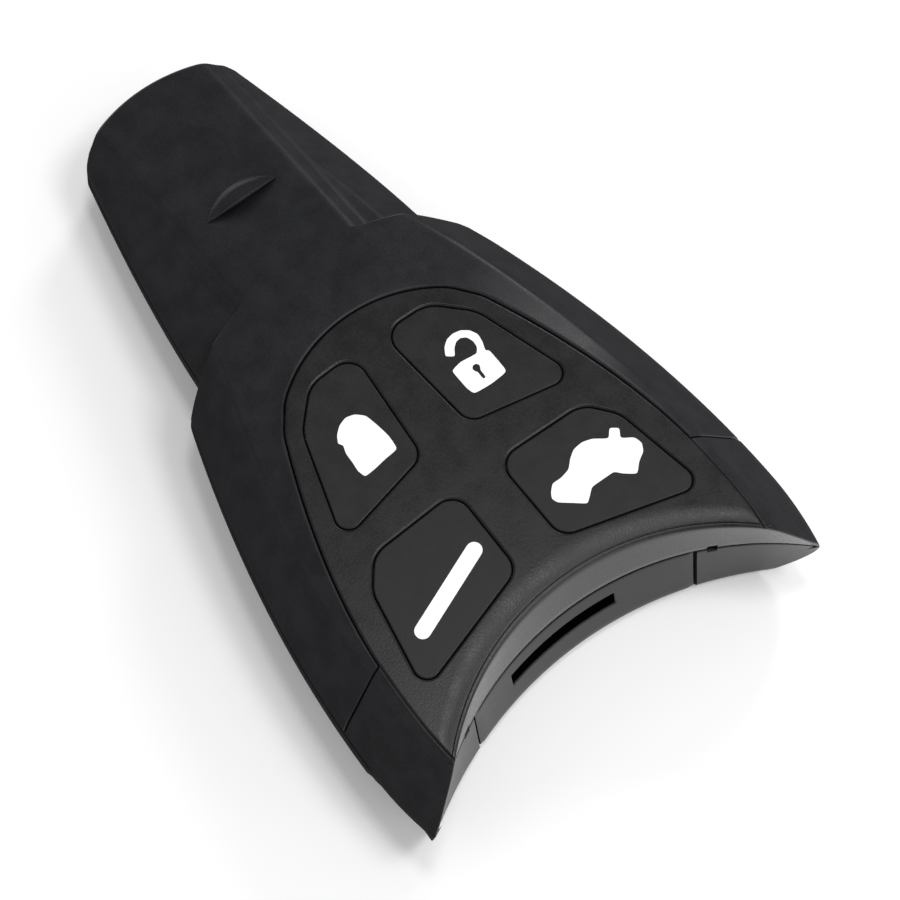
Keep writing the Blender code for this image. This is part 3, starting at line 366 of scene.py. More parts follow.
def on_line(line, q):
    """The point at a place along a line, counted in its points."""
    i = clamped(int(q), 0, len(line) - 2)
    part = q - i
    (x0, z0), (x1, z1) = line[i], line[i + 1]
    return x0 + (x1 - x0) * part, z0 + (z1 - z0) * part


def place_at_height(line, height):
    for i in range(len(line) - 1):
        if line[i][1] >= height > line[i + 1][1]:
            return i + (line[i][1] - height) / (line[i][1] - line[i + 1][1])
    return len(line) - 1.0


def place_across(line, x, upper=True):
    """Where a line is at a distance across, from the top's side or from the back's."""
    order = range(len(line) - 1) if upper else range(len(line) - 2, -1, -1)
    for i in order:
        (x0, _), (x1, _) = line[i], line[i + 1]
        if min(x0, x1) <= x <= max(x0, x1) and x0 != x1:
            return i + (x - x0) / (x1 - x0)
    return 0.0


def height_across(line, x, upper=True):
    return on_line(line, place_across(line, x, upper))[1]


def outward(line, q):
    """The direction square to a section, away from the material."""
    a, b = on_line(line, max(q - 0.4, 0.0)), on_line(line, min(q + 0.4, len(line) - 1.0))
    across, up = b[0] - a[0], b[1] - a[1]
    size = math.hypot(across, up) or 1.0
    return -up / size, across / size


def deep_inside(spot, depth=0.0009):
    """Whether a place is further in than the fob's outer surface by a depth."""
    x, s, z = abs(spot.x), spot.y + LENGTH / 2, spot.z
    body = x < SHOULDER_RADIUS and s < shoulder_station(x)
    half_of, line_of = (body_half, body_line) if body else (nose_half, nose_line)
    line = line_of(s)
    if x > half_of(s) - depth or s < tail_station(x, z) + depth or not body and s > tip_station(x) - depth:
        return False
    return height_across(line, x, False) + depth < z < height_across(line, x) - depth


# Skins gathered patch by patch

class Skin:
    """Surface of a moulding. Patches that share points join where they meet."""

    def __init__(self):
        self.mesh = bmesh.new()
        self.points = {}

    def point(self, x, s, z):
        key = (round(x * 5e5), round(s * 5e5), round(z * 5e5))
        if key not in self.points:
            self.points[key] = self.mesh.verts.new((x, s - LENGTH / 2, z))
        return self.points[key]

    def face(self, corners, smooth=True):
        found = []
        for corner in corners:
            vert = self.point(*corner)
            if vert not in found:
                found.append(vert)
        if len(found) > 2 and not self.mesh.faces.get(found):
            self.mesh.faces.new(found).smooth = smooth

    def sheet(self, rows):
        """A sheet of faces between rows that have as many points each."""
        for row, following in zip(rows, rows[1:]):
            for a, b, c, d in zip(row, row[1:], following[1:], following):
                self.face((a, b, c, d))

    def strips(self, columns):
        """A sheet given by its columns, each from the row behind to the row in front."""
        self.sheet(list(zip(*columns)))

    def wall(self, edge, place_of):
        """A wall from an edge to the line where a rule puts each of its points."""
        self.sheet([edge, [place_of(*point) for point in edge]])

    def fill(self, loops, height):
        """A flat face inside the first loop and outside the others."""
        flat = [Vector((x, s, 0.0)) for loop in loops for x, s in loop]
        for corners in tessellate_polygon([[Vector((x, s, 0.0)) for x, s in loop] for loop in loops]):
            self.face([(flat[i].x, flat[i].y, height) for i in corners], False)

    def mirror(self):
        for face in list(self.mesh.faces):
            corners = [(-v.co.x, v.co.y + LENGTH / 2, v.co.z) for v in reversed(face.verts)]
            self.face(corners, face.smooth)

    def settle(self, up):
        """Joins the patches into one surface that faces outwards."""
        bmesh.ops.remove_doubles(self.mesh, verts=self.mesh.verts, dist=3e-6)
        bmesh.ops.dissolve_degenerate(self.mesh, dist=1e-6, edges=self.mesh.edges)
        self.turn_out(up)

    def turn_out(self, up=0):
        """Turns the faces outwards. The faces looking up or down tell which way that is."""
        bmesh.ops.recalc_face_normals(self.mesh, faces=self.mesh.faces)
        self.mesh.normal_update()
        lean = sum(f.normal.z * f.calc_area() for f in self.mesh.faces)
        if lean * up < 0:
            bmesh.ops.reverse_faces(self.mesh, faces=self.mesh.faces)

    def line_with(self, node, near=0.0007):
        """Adds the inner faces of a node's solid, which the skin doesn't cover."""
        self.mesh.normal_update()
        tree = BVHTree.FromBMesh(self.mesh)
        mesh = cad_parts[node].data
        stray = set()
        for vert in mesh.vertices:
            spot, normal, _, _ = tree.find_nearest(vert.co)
            if not deep_inside(vert.co) and (vert.co - spot).dot(normal) > -TOUCHING:
                stray.add(vert.index)
        made = {}
        for polygon in mesh.polygons:
            spot, normal, _, gap = tree.find_nearest(polygon.center)
            if gap < near and abs(normal.dot(polygon.normal)) > 0.5 or stray.intersection(polygon.vertices):
                continue
            verts = []
            for index in polygon.vertices:
                co = mesh.vertices[index].co
                key = tuple(round(value * 1e6) for value in co)
                if key not in made:
                    made[key] = self.mesh.verts.new(co)
                if made[key] not in verts:
                    verts.append(made[key])
            if len(verts) > 2 and not self.mesh.faces.get(verts):
                self.mesh.faces.new(verts).smooth = True

    def stand_for(self, node, mat, body, slot, up):
        """Finishes a skin that covers the outside of a node's solid."""
        self.settle(up)
        self.line_with(node)
        self.finish(node + "_look", mat, body, slot, node)

    def finish(self, name, mat, body, slot, node=None, sharp=42):
        """The finished piece on its body, standing for the solid that it replaces."""
        mesh = bpy.data.meshes.new(name)
        self.mesh.to_mesh(mesh)
        self.mesh.free()
        piece = bpy.data.objects.new(name, mesh)
        bpy.context.scene.collection.objects.link(piece)
        mesh.materials.append(mat)
        flat = [polygon.index for polygon in mesh.polygons if not polygon.use_smooth]
        mesh.set_sharp_from_angle(angle=math.radians(sharp))
        for index in flat:
            mesh.polygons[index].use_smooth = False
        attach(piece, body)
        if node:
            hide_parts(node)


def closed(loop):
    return loop + loop[:1]


def at_height(loop, z):
    return [(x, s, z) for x, s in loop]


def in_plan(points):
    return [(x, s) for x, s, _ in points]


def both_sides(right):
    """A closed outline from its right half, which runs forward along the fob."""
    return right + [(-x, s) for x, s in reversed(right) if x > 1e-7]


def circle(x, s, radius, degrees):
    """A circle with a point each so many degrees."""
    return [(x + radius * math.cos(math.radians(a)), s + radius * math.sin(math.radians(a)))
            for a in range(0, 360, degrees)]


def evenly(low, high, count):
    """The values between low and high that part their distance into a count of equal steps."""
    return [low + (high - low) * k / count for k in range(1, count)]


def rows_between(low, high, count, near_low=NEAR, near_high=NEAR):
    """Stations from low to high, closer together at the ends that have an edge."""
    start = low + (near_low[-1] if near_low else 0.0)
    end = high - (near_high[-1] if near_high else 0.0)
    rows = [low + d for d in near_low[:-1]]
    rows += [start + (end - start) * (k / count) for k in range(count + 1)]
    return rows + [high - d for d in reversed(near_high[:-1])]


def spot_on(rule, s, drop=0.0):
    """The point of a column at a station, sunk square to the section.

    A column's rule gives, for a station, a section and a place along it."""
    line, q = rule(s)
    x, z = on_line(line, q)
    if drop > 0.0:
        across, up = outward(line, q)
        x, z = max(x - across * drop, 0.0), z - up * drop
    return x, s, z


def column_of(rule, stations, drop_of):
    """Points of a column, each sunk by what its own place asks for."""
    return [spot_on(rule, s, drop_of(*spot_on(rule, s))) for s in stations]


def meets(rule, station_of, guess, rounds=5):
    """The station where a column meets an edge that moves with it."""
    for _ in range(rounds):
        guess = station_of(spot_on(rule, guess)[0])
    return guess


CREST_STARTS = ARC_STEPS + 2
CREST_STEPS = (0, 1, 2, 3, 4, 5, 6, 6.12, 6.25, 6.4, 6.55, 6.7, 6.85, 7, 8, 9, 10, 11, 12, 13)
RIM_COLUMNS = len(NEAR) + 4 + len(CREST_STEPS) + 6


def rim_places(line, edge, height):
    """Places along a body section from an edge across it to the parting line."""
    near = [place_across(line, edge + d) for d in NEAR]
    start = near[-1]
    first = max(float(CREST_STARTS), start)
    end = place_at_height(line, height)
    x_start, x_first = on_line(line, start)[0], on_line(line, first)[0]
    fill = [place_across(line, x) for x in evenly(x_start, x_first, 5)]
    run = CREST_STEPS[-1]
    crest = [first + step * (CREST_STARTS + run - first) / run for step in CREST_STEPS]
    return near + fill + crest + evenly(crest[-1], end, 6) + [end]


def rim_rule(k, half_of):
    """A column round the rim, from an edge to the parting line."""
    def rule(s):
        line = body_line(s)
        return line, rim_places(line, half_of(s), upper_end(s))[k]
    return rule


NEAR_SIDE, NEAR_AHEAD, FAR_OFF = 0.0012, 0.0010, 1.0
PIECE_ASIDE, PIECE_AHEAD = 0.0025, 0.0015
OPENING = ([(opening_line(s / 5000), s / 5000) for s in range(0, 200)]
           + [(SIDE_SWITCH * 1.3 * (1 - k / 60), crown_station(SIDE_SWITCH * 1.3 * (1 - k / 60)))
              for k in range(61)])


def near_opening(x, s):
    """Distance from the front shell's opening round the cover, far off where no edge can be near."""
    if s < COVER_APEX and x - opening_line(s) > NEAR_SIDE or s > COVER_APEX + NEAR_AHEAD:
        return FAR_OFF
    spot = Vector((x, s))
    least = FAR_OFF
    for a, b in zip(OPENING, OPENING[1:]):
        if abs(a[1] - s) < PIECE_AHEAD and abs(a[0] - x) < PIECE_ASIDE:
            start, along = Vector(a), Vector((b[0] - a[0], b[1] - a[1]))
            share = clamped((spot - start).dot(along) / along.length_squared)
            least = min(least, (start + along * share - spot).length)
    return least


def upper_end(s):
    """Where an upper moulding's side ends and its lip starts."""
    return parting_height(s) + FIT_GAP / 2 + LIP_EASE


def lower_end(s):
    return parting_height(s) - FIT_GAP / 2 - LIP_EASE


def inward_way(points, i):
    """Direction from a place of an outline into the moulding, which is on the left."""
    here = Vector(points[i][:2])
    ends = []
    for others in (points[i::-1], points[i:]):
        far = here
        for point in others[1:]:
            far = Vector(point[:2])
            if (far - here).length > LIP_REACH:
                break
        ends.append(far)
    along = (ends[1] - ends[0]).normalized()
    return Vector((-along.y, along.x))


def lip_room(points, i, way):
    """How far a lip can reach inwards before it comes near another edge."""
    here = Vector(points[i][:2])
    room = LIP_DEPTH
    for a, b in zip(points, points[1:]):
        hit = intersect_line_line_2d(here + way * 0.00001, here + way * LIP_DEPTH,
                                     Vector(a[:2]), Vector(b[:2]))
        if hit:
            room = min(room, (hit - here).length * LIP_SHARE)
    return room


def add_lip(skin, points, way):
    """Rounds the edge at the parting line and turns it inwards, down with -1 or up with 1.

    The points run so that the inside of the moulding is on their left."""
    turns = [(LIP_EASE * (1 - math.cos(a)), LIP_EASE * math.sin(a))
             for a in (0.0, 0.52, 1.05, math.pi / 2)]
    points = points[:1] + [p for p, before in zip(points[1:], points) if math.dist(p, before) > 2e-6]
    ways = [inward_way(points, i) for i in range(len(points))]
    rooms = [lip_room(points, i, n) for i, n in enumerate(ways)]
    skin.sheet([[(x + n.x * min(inward, room) if x != 0.0 else 0.0, s + n.y * min(inward, room),
                  z + way * rise) for (x, s, z), n, room in zip(points, ways, rooms)]
                for inward, rise in turns + [(LIP_DEPTH, LIP_EASE)]])


def crescent_share(x):
    return max(1.0 - (x / CRESCENT_HALF) ** 2, 0.0)


# Front shell

CROWN_PLACES = ([CRESCENT_HALF * k / 12 for k in range(12)]
                + [CRESCENT_HALF + (SIDE_SWITCH - CRESCENT_HALF) * k / 16 for k in range(17)])
BULGE_RISE = ((0.03, 1.0), (0.09, 1.0), (0.14, 0.58), (0.20, 0.38), (0.35, 0.32), (0.52, 0.31),
              (0.68, 0.36), (0.76, 0.70), (0.85, 0.80), (0.93, 0.58), (1.0, 0.0))
RIM_ROWS = 56
SHOULDER_ROWS = 12
NOSE_SIDE_COLUMNS = 4
TIP_ROWS = (1.0, 0.85, 0.7, 0.55, 0.42, 0.3, 0.2, 0.12, 0.06, 0.02, 0.0)


def shoulder_drop(x, s, radius):
    return ease(SHOULDER_RADIUS - math.hypot(x, s - SHOULDER_MIDDLE), radius)


def split_drop(distance):
    return ease(distance / math.hypot(1.0, SPLIT_FALL), SPLIT_EASE)


def step_radius(x, z, s, end, upper=True):
    """How softly the shoulder's edge is rounded, which is less where the step fades out.

    With it goes the edge's place on the nose's section, if it lies on that section."""
    nose = nose_line(s)
    if x > on_line(nose, place_at_height(nose, end))[0] - TOUCHING:
        return STEP_EASE, None
    step = (z - height_across(nose, x, upper)) * (1 if upper else -1)
    return min(STEP_EASE, max(step, 0.0) / 2), place_across(nose, x, upper)


def nose_stations(start, share):
    """Stations of a nose column, each with its rise: to the scoop, down it and over the bulge."""
    scoop = CRESCENT_AT - CRESCENT_RUN * share
    rows = [(s, 0.0) for s in [start] + evenly(start, scoop, 6)]
    rows += [(scoop + (CRESCENT_AT - scoop) * k / 10, -CRESCENT_DEPTH * share * (k / 10) ** SCOOP_POWER)
             for k in range(11)]
    over = CRESCENT_AT - HOOD_STEP * share
    rows += [(over, CRESCENT_RISE * share * 0.6), (over, CRESCENT_RISE * share * 0.85)]
    rows += [(CRESCENT_AT + CRESCENT_BULGE * share * part, CRESCENT_RISE * share * rise)
             for part, rise in BULGE_RISE]
    return rows


def tip_column(rule):
    """The rounded end of a column of the nose."""
    column = []
    for part in TIP_ROWS:
        distance = TIP_EASE * part
        drop = ease(distance, TIP_EASE)
        s = NOSE_TIP_AT
        for _ in range(6):
            s = tip_station(spot_on(rule, s, drop)[0]) - distance
        column.append(spot_on(rule, s, drop))
    return column


def front_shell():
    skin = Skin()
    sides, split_foot, side_places, crown, crown_places = [], [], [], [], []
    radius = STEP_EASE

    def drop_of(x, s, z):
        return max(ease(near_opening(x, s), BEZEL_EASE), split_drop(s - split_station(x) - SEAM),
                   shoulder_drop(x, s, radius))

    for k in range(RIM_COLUMNS):
        rule = rim_rule(k, opening_half)
        start = meets(rule, lambda x: split_station(x) + SEAM, SPLIT_AT)
        end = meets(rule, shoulder_station, SHOULDER_AT, 9)
        x, _, z = spot_on(rule, end)
        radius, q = step_radius(x, z, end, upper_end(end))
        side_places.append(q)
        along = rows_between(start, SWITCH_STATION, RIM_ROWS, near_high=())
        sides.append(column_of(rule, along + rows_between(SWITCH_STATION, end, SHOULDER_ROWS)[1:], drop_of))
        split_foot.append(spot_on(rule, start, SPLIT_EASE + SPLIT_DEPTH))
    skin.strips(sides)
    for x in CROWN_PLACES:
        end = shoulder_station(x)
        radius, q = step_radius(x, height_across(body_line(end), x), end, upper_end(end))
        crown_places.append(q)
        crown.append(column_of(lambda s: (body_line(s), place_across(body_line(s), x)),
                               rows_between(crown_station(x), end, SHOULDER_ROWS), drop_of))
    skin.strips(crown)
    rim = sides[0][:len(along)] + [column[0] for column in reversed(crown[:-1])]
    skin.wall(rim, lambda x, s, z: (x, s, LEDGE_TOP))
    skin.sheet([[column[0] for column in sides], split_foot])
    edge = [column[-1] for column in crown[:-1] + sides]
    matched = [q for q in crown_places[:-1] + side_places if q is not None]
    wall_end, lip = nose_part(skin, edge, matched, upper_end)
    add_lip(skin, sides[-1] + wall_end + lip, -1)
    skin.mirror()
    skin.stand_for("front_shell", CASE, "case", "case_black", 1)


def nose_part(skin, edge, matched, end_of, crescent=True):
    """The shoulder's wall, the nose with its crescent and the tip.

    Returns the outline of their parting edge in two parts."""
    def dropped(points):
        return [(x, s, end_of(s)) for x, s, _ in points[:-1]] + points[-1:]

    last, count = matched[-1], len(matched)
    columns = []
    for k in range(count + NOSE_SIDE_COLUMNS):
        def rule(s):
            line = nose_line(s)
            if k < count:
                return line, matched[k]
            share = (k - count + 1) / NOSE_SIDE_COLUMNS
            return line, last + (place_at_height(line, end_of(s)) - last) * share
        start = edge[k][1] if k < count else meets(rule, shoulder_station, SHOULDER_AT)
        share = crescent_share(spot_on(rule, CRESCENT_AT)[0]) if crescent else 0.0
        tip = tip_column(rule)
        rows = nose_stations(start, share)
        rows += [(s, 0.0) for s in evenly(rows[-1][0], tip[0][1], 8)]
        column = []
        for s, rise in rows:
            x, _, z = spot_on(rule, s)
            column.append((x, s, z + rise))
        columns.append(column + tip)
    skin.strips(columns)
    tops = [column[0] for column in columns]
    for k in range(count - 1):
        skin.face((edge[k], edge[k + 1], tops[k + 1], tops[k]))
    below = dropped(edge)
    skin.face([edge[count - 1], edge[count], below[count]] + tops[count - 1:][::-1])
    for k in range(count, len(edge) - 1):
        skin.face((edge[k], edge[k + 1], below[k + 1], below[k]))
    end_row = [column[-1] for column in columns]
    foot = dropped(end_row)
    skin.sheet([end_row, foot])
    return below[count:-1][::-1], columns[-1] + foot[::-1][1:]


# Outlines in plan

def offset_outline(outline, distance):
    """Moves a closed outline outwards, or inwards by a negative distance."""
    area = sum(a[0] * b[1] - b[0] * a[1] for a, b in zip(outline, outline[1:] + outline[:1]))
    turn = 1.0 if area > 0 else -1.0
    moved = []
    for i, here in enumerate(outline):
        before, after = outline[i - 1], outline[(i + 1) % len(outline)]
        into = Vector((here[0] - before[0], here[1] - before[1])).normalized()
        out = Vector((after[0] - here[0], after[1] - here[1])).normalized()
        normal = Vector((into.y + out.y, -into.x - out.x)).normalized() * turn
        stretch = max(normal.x * into.y * turn - normal.y * into.x * turn, 0.3)
        moved.append((here[0] + normal.x * distance / stretch, here[1] + normal.y * distance / stretch))
    return moved


def rounded(corners, steps=9):
    """A polygon whose corners, each with a radius, are replaced by arcs."""
    outline = []
    count = len(corners)
    for i, (x, s, radius) in enumerate(corners):
        here = Vector((x, s))
        before = (Vector(corners[i - 1][:2]) - here).normalized()
        after = (Vector(corners[(i + 1) % count][:2]) - here).normalized()
        half = before.angle(after) / 2
        centre = here + (before + after).normalized() * radius / math.sin(half)
        start = here + before * radius / math.tan(half) - centre
        end = here + after * radius / math.tan(half) - centre
        sweep = start.angle_signed(end)
        for k in range(steps + 1):
            turn = Matrix.Rotation(-sweep * k / steps, 2)
            outline.append(tuple(centre + turn @ start))
    return outline


def key_outline(corners):
    """Outline of a right-hand key, from corners that are set against the shield."""
    placed = []
    for across, back, radius in corners:
        s = COVER_APEX - back
        placed.append((across if across > 0 else bezel_half(s) + across, s, radius))
    return rounded(placed)


def mirrored(outline):
    return [(-x, s) for x, s in reversed(outline)]


FILLET = (1.0, 0.72, 0.48, 0.28, 0.13, 0.04, 0.0)


def rounded_rim(skin, outline, radius, top, bottom, outwards, rise=-1):
    """A softened edge round an outline and the wall under it. Returns the loop inside the edge."""
    rows = [at_height(closed(offset_outline(outline, -outwards * radius * part)),
                      top + rise * ease(radius * part, radius)) for part in FILLET]
    skin.sheet(rows + [at_height(closed(outline), bottom)])
    return in_plan(rows[0][:-1])


# Button cover

TAIL_ROWS = (0.0, 0.00002, 0.00006, 0.00012, 0.00018, 0.00025, 0.00040, 0.00047, 0.00052, 0.00058,
             0.00064, 0.00070, 0.00078, 0.00095, 0.0012, 0.0015, 0.0019, 0.0023, 0.0027, 0.0030)
COVER_GUESS, REAR_GUESS = 0.008, 0.004
TAIL_ROLL = 0.00030
TAIL_GROOVE = 0.00058
TAIL_GROOVE_HALF = 0.00012
TAIL_GROOVE_DEPTH = 0.00010
GROOVE_FADE = 0.0012
ROLL_FADE = 0.0040
PANEL_COLUMNS = sorted([k / 36 for k in range(37)] + [0.7845, 0.786, 0.834, 0.8355])
CORNER_ROWS = 14
BEZEL_ROWS = 60
CROWN_ROWS = 36
CROWN_FROM = SWITCH_STATION - 0.0008
STEER_RUN = 0.006
PRY_NOTCH = (0.01545, 0.01640, 0.0005)


def notch_depth(x):
    """How far the small pry notch beside the guide cuts into the parting edge."""
    return PRY_NOTCH[2] if PRY_NOTCH[0] < x < PRY_NOTCH[1] else 0.0


def cover_drop(x, s, by_split):
    """Drop of the cover's surface at the style groove and, in its tail corner, at the split line."""
    at_split = split_drop(split_station(x) - s) if by_split else 0.0
    return max(ease(abs(x - bezel_half(s)), GROOVE_HALF), at_split)


def behind_tail(distance, s, rule, drop_of):
    """The point of a column at a distance from the tail's edge, from a first guess of its station."""
    for _ in range(7):
        x, _, z = spot_on(rule, s, drop_of(*spot_on(rule, s)))
        s = tail_station(x, z) + distance
    return x, s, z


def tail_column(rule, by_split):
    """Points of a column from the tail's edge forward, with the fine groove along the edge."""
    column = []
    for distance in TAIL_ROWS:
        def drop_of(x, s, z):
            beside = x - bezel_half(s)
            groove = ease(abs(distance - TAIL_GROOVE), TAIL_GROOVE_HALF) / TAIL_GROOVE_HALF
            groove *= TAIL_GROOVE_DEPTH * clamped(1.0 - beside / GROOVE_FADE)
            roll = TAIL_ROLL * (1.0 - distance / TAIL_ROWS[-1]) ** 2 * clamped(1.0 - beside / ROLL_FADE) ** 2
            return max(cover_drop(x, s, by_split), ease(distance, TAIL_EASE), groove) + roll
        column.append(behind_tail(distance, COVER_GUESS, rule, drop_of))
    return column


def panel_rule(part, behind):
    """A column of the panel: a share of its half-width, then a distance from its edge."""
    def rule(s):
        line = body_line(s)
        half = bezel_half(s)
        return line, place_across(line, part * (half - GROOVE_HALF) if part < 1.0 else half - behind)
    return rule


def bezel_stations():
    """Stations of the bezel from the split line to its crown, even along its line."""
    rows = [SPLIT_AT] + evenly(SPLIT_AT, CROWN_FROM, BEZEL_ROWS)
    start = math.asin((CROWN_FROM - COVER_APEX + COVER_CROWN) / COVER_CROWN)
    for k in range(CROWN_ROWS + 1):
        angle = start + (math.pi / 2 - start) * k / CROWN_ROWS
        rows.append(min(COVER_APEX - COVER_CROWN + COVER_CROWN * math.sin(angle), COVER_APEX))
    return rows


def bezel_point(s, behind):
    """A point behind the bezel's line, square to it but straight across near the split line."""
    if s >= COVER_APEX - 1e-7:
        return 0.0, COVER_APEX - behind
    slope = (bezel_half(s + 1e-6) - bezel_half(s - 1e-6)) / 2e-6
    steer = clamped((s - SPLIT_AT) / STEER_RUN)
    normal = Vector((1.0, -slope * steer)).normalized()
    return bezel_half(s) - normal.x * behind, s - normal.y * behind


def button_cover():
    skin = Skin()
    fillet = [GROOVE_HALF * part for part in FILLET]
    rules = [panel_rule(part, 0.0) for part in PANEL_COLUMNS[:-1]] + [panel_rule(1.0, b) for b in fillet]
    strip = [tail_column(rule, False) for rule in rules]
    corners = [strip[-1]] + [tail_column(rim_rule(k, bezel_half), True) for k in range(1, RIM_COLUMNS)]
    skin.strips(strip)
    skin.strips(corners)
    ahead, split_foot = [], []
    for k, column in enumerate(corners):
        rule = rim_rule(k, bezel_half)
        high = meets(rule, split_station, SPLIT_AT) if k else SPLIT_AT
        stations = rows_between(column[-1][1], high, CORNER_ROWS, near_low=())[1:]
        ahead.append(column[-1:] + column_of(rule, stations, lambda x, s, z: cover_drop(x, s, True)))
        split_foot.append(spot_on(rule, high, SPLIT_EASE + SPLIT_DEPTH))
    skin.strips(ahead)
    skin.strips([[rows[-1] for rows in ahead], split_foot])
    bezel = []
    for behind, column in zip(fillet, strip[-len(fillet):]):
        rows = [(bezel_half(s) - behind, s)
                for s in rows_between(column[-1][1], SPLIT_AT, CORNER_ROWS, near_low=())[1:]]
        rows += [bezel_point(s, behind) for s in bezel_stations()[1:]]
        bezel.append([column[-1]] + at_height(rows, THICKNESS - ease(behind, GROOVE_HALF)))
    skin.strips(bezel)
    edge = [point for point in bezel[-1] if point[1] >= SPLIT_AT - 1e-7]
    skin.wall(edge, lambda x, s, z: (x, s, PANEL_UNDERSIDE))
    foot = tail_band(skin, [column[0] for column in strip + corners[1:]])
    add_lip(skin, foot + corners[-1][1:] + ahead[-1][1:], -1)
    holes = []
    for key in (UPPER_KEY, LOWER_KEY):
        window = offset_outline(key_outline(key), FIT_GAP - KEY_GROWTH)
        hole = rounded_rim(skin, window, GROOVE_HALF, THICKNESS, PANEL_UNDERSIDE, -1)
        holes += [hole, mirrored(hole)]
    skin.mirror()
    inside = [column[-1] for column in strip[:len(PANEL_COLUMNS) - 1]] + bezel[0]
    skin.fill([both_sides(in_plan(inside))] + holes, THICKNESS)
    skin.stand_for("button_cover", COVER, "cover", "cover_black", 1)


def tail_band(skin, tops):
    """The smooth band that slopes from the panel's end to the parting line. Returns its foot."""
    columns = []
    for x, s, z in tops:
        end = min(upper_end(0.0) + notch_depth(x), z)
        heights = [z + (end - z) * part for part in (0.12, 0.3, 0.5, 0.7, 0.88, 1.0)]
        columns.append([(x, s, z)] + [(x, tail_station(x, height), height) for height in heights])
    skin.strips(columns)
    return [column[-1] for column in columns]


# Rear shell

FACE_PLACES = (GUIDE_FACE_HALF, 0.01496, PRY_NOTCH[0] - 0.00001, PRY_NOTCH[0] + 0.00001,
               PRY_NOTCH[1] - 0.00001, PRY_NOTCH[1] + 0.00001, 0.0171, 0.0178)
FACE_ROWS = (1.0, 0.97, 0.75, 0.5, 0.3, 0.17, 0.133, 0.1, 0.07, 0.045, 0.025, 0.01, 0.0)
SIDE_SHARES = 4
FLOOR_COLUMNS = 10
SOFT_ROWS = 6
FLANK_ROWS = 40
BACK_ROWS = 8


def back_place(s, k):
    """Place of a rear column: over the flat back, round its edge, then up to the parting line."""
    if k < 0:
        return BACK_POINT - k / FLOOR_COLUMNS
    if k <= BACK_STEPS:
        return float(BACK_POINT - k)
    line = body_line(s)
    return WAIST_POINT + (place_at_height(line, lower_end(s)) - WAIST_POINT) * (k - BACK_STEPS) / SIDE_SHARES


def rear_shell():
    skin = Skin()
    columns, matched = [], []
    for k in range(-FLOOR_COLUMNS, BACK_STEPS + 1 + SIDE_SHARES):
        def rule(s):
            return body_line(s), back_place(s, k)
        end = meets(rule, shoulder_station, SHOULDER_AT, 9)
        x, _, z = spot_on(rule, end)
        radius, q = step_radius(x, z, end, lower_end(end), False)
        matched.append(q)
        column = []
        rows = rows_between(COVER_APEX, end, BACK_ROWS, near_low=())
        if k >= 0:
            column = [behind_tail(distance, REAR_GUESS, rule, lambda x, s, z: ease(distance, TAIL_EASE)
                                  * min(z / TAIL_BOTTOM_ROUND, 1.0)) for distance in TAIL_ROWS[:SOFT_ROWS]]
            rows = evenly(column[-1][1], COVER_APEX, FLANK_ROWS) + rows
        columns.append(column + column_of(rule, rows, lambda x, s, z: shoulder_drop(x, s, radius)))
    edge = [column[-1] for column in columns]
    floor, columns = columns[:FLOOR_COLUMNS], columns[FLOOR_COLUMNS:]
    skin.strips(columns)
    skin.strips(floor + [columns[0][-len(floor[0]):]])
    wall_end, side = nose_part(skin, edge, [q for q in matched if q is not None], lower_end, False)
    face, heel = tail_face(skin, columns)
    add_lip(skin, face + columns[-1][1:] + wall_end + side, 1)
    skin.mirror()
    inside = heel + columns[0][SOFT_ROWS:-len(floor[0]) + 1] + [column[0] for column in reversed(floor)]
    hole = circle(0.0, RELEASE_AT, RELEASE_RADIUS + FIT_GAP, 5)
    rim = rounded_rim(skin, hole, SPLIT_EASE, 0.0, WALL, -1, 1)
    skin.fill([both_sides(in_plan(inside)), rim], 0.0)
    skin.stand_for("rear_shell", CASE, "case", "case_black", -1)


def tail_face(skin, columns):
    """The rear shell's part of the tail, between the guide and the flank.

    Returns its top edge and the line where the flat back starts behind it."""
    flank = [column[0] for column in columns]
    rows = []
    for x, foot in [(x, 0.0) for x in FACE_PLACES] + [(x, z) for x, _, z in flank]:
        top = max(lower_end(0.0) - notch_depth(x), foot)
        heights = [foot + (top - foot) * part for part in FACE_ROWS]
        rows.append([(x, tail_station(x, z), z) for z in heights])
    rows[-1] = [flank[-1]] * len(FACE_ROWS)
    skin.strips(rows)
    feet = [row[-1] for row in rows[:len(FACE_PLACES)]]
    heel = [(x, s + TAIL_EASE, z) for x, s, z in feet] + [columns[0][SOFT_ROWS - 1]]
    skin.sheet([feet + [flank[0]], heel])
    skin.wall(rows[0], lambda x, s, z: (x, NOTCH_END, z))
    notch = at_height([(0.0, NOTCH_END), (GUIDE_FACE_HALF, NOTCH_END)], 0.0)
    skin.wall(notch, lambda x, s, z: (x, s, WALL))
    return [row[0] for row in rows], notch + heel


# Blade guide

def closer_lines(low, high, hole, counts):
    """Grid lines from low to high, closer together outside both edges of a hole."""
    near = (0.0, 0.00003, 0.00008, 0.00013, SLOT_EASE, 0.0003)
    before = [hole[0] - d for d in reversed(near)]
    after = [hole[1] + d for d in near]
    return ([low] + evenly(low, before[0], counts[0]) + before + evenly(*hole, counts[1]) + after
            + evenly(after[-1], high, counts[2]) + [high])


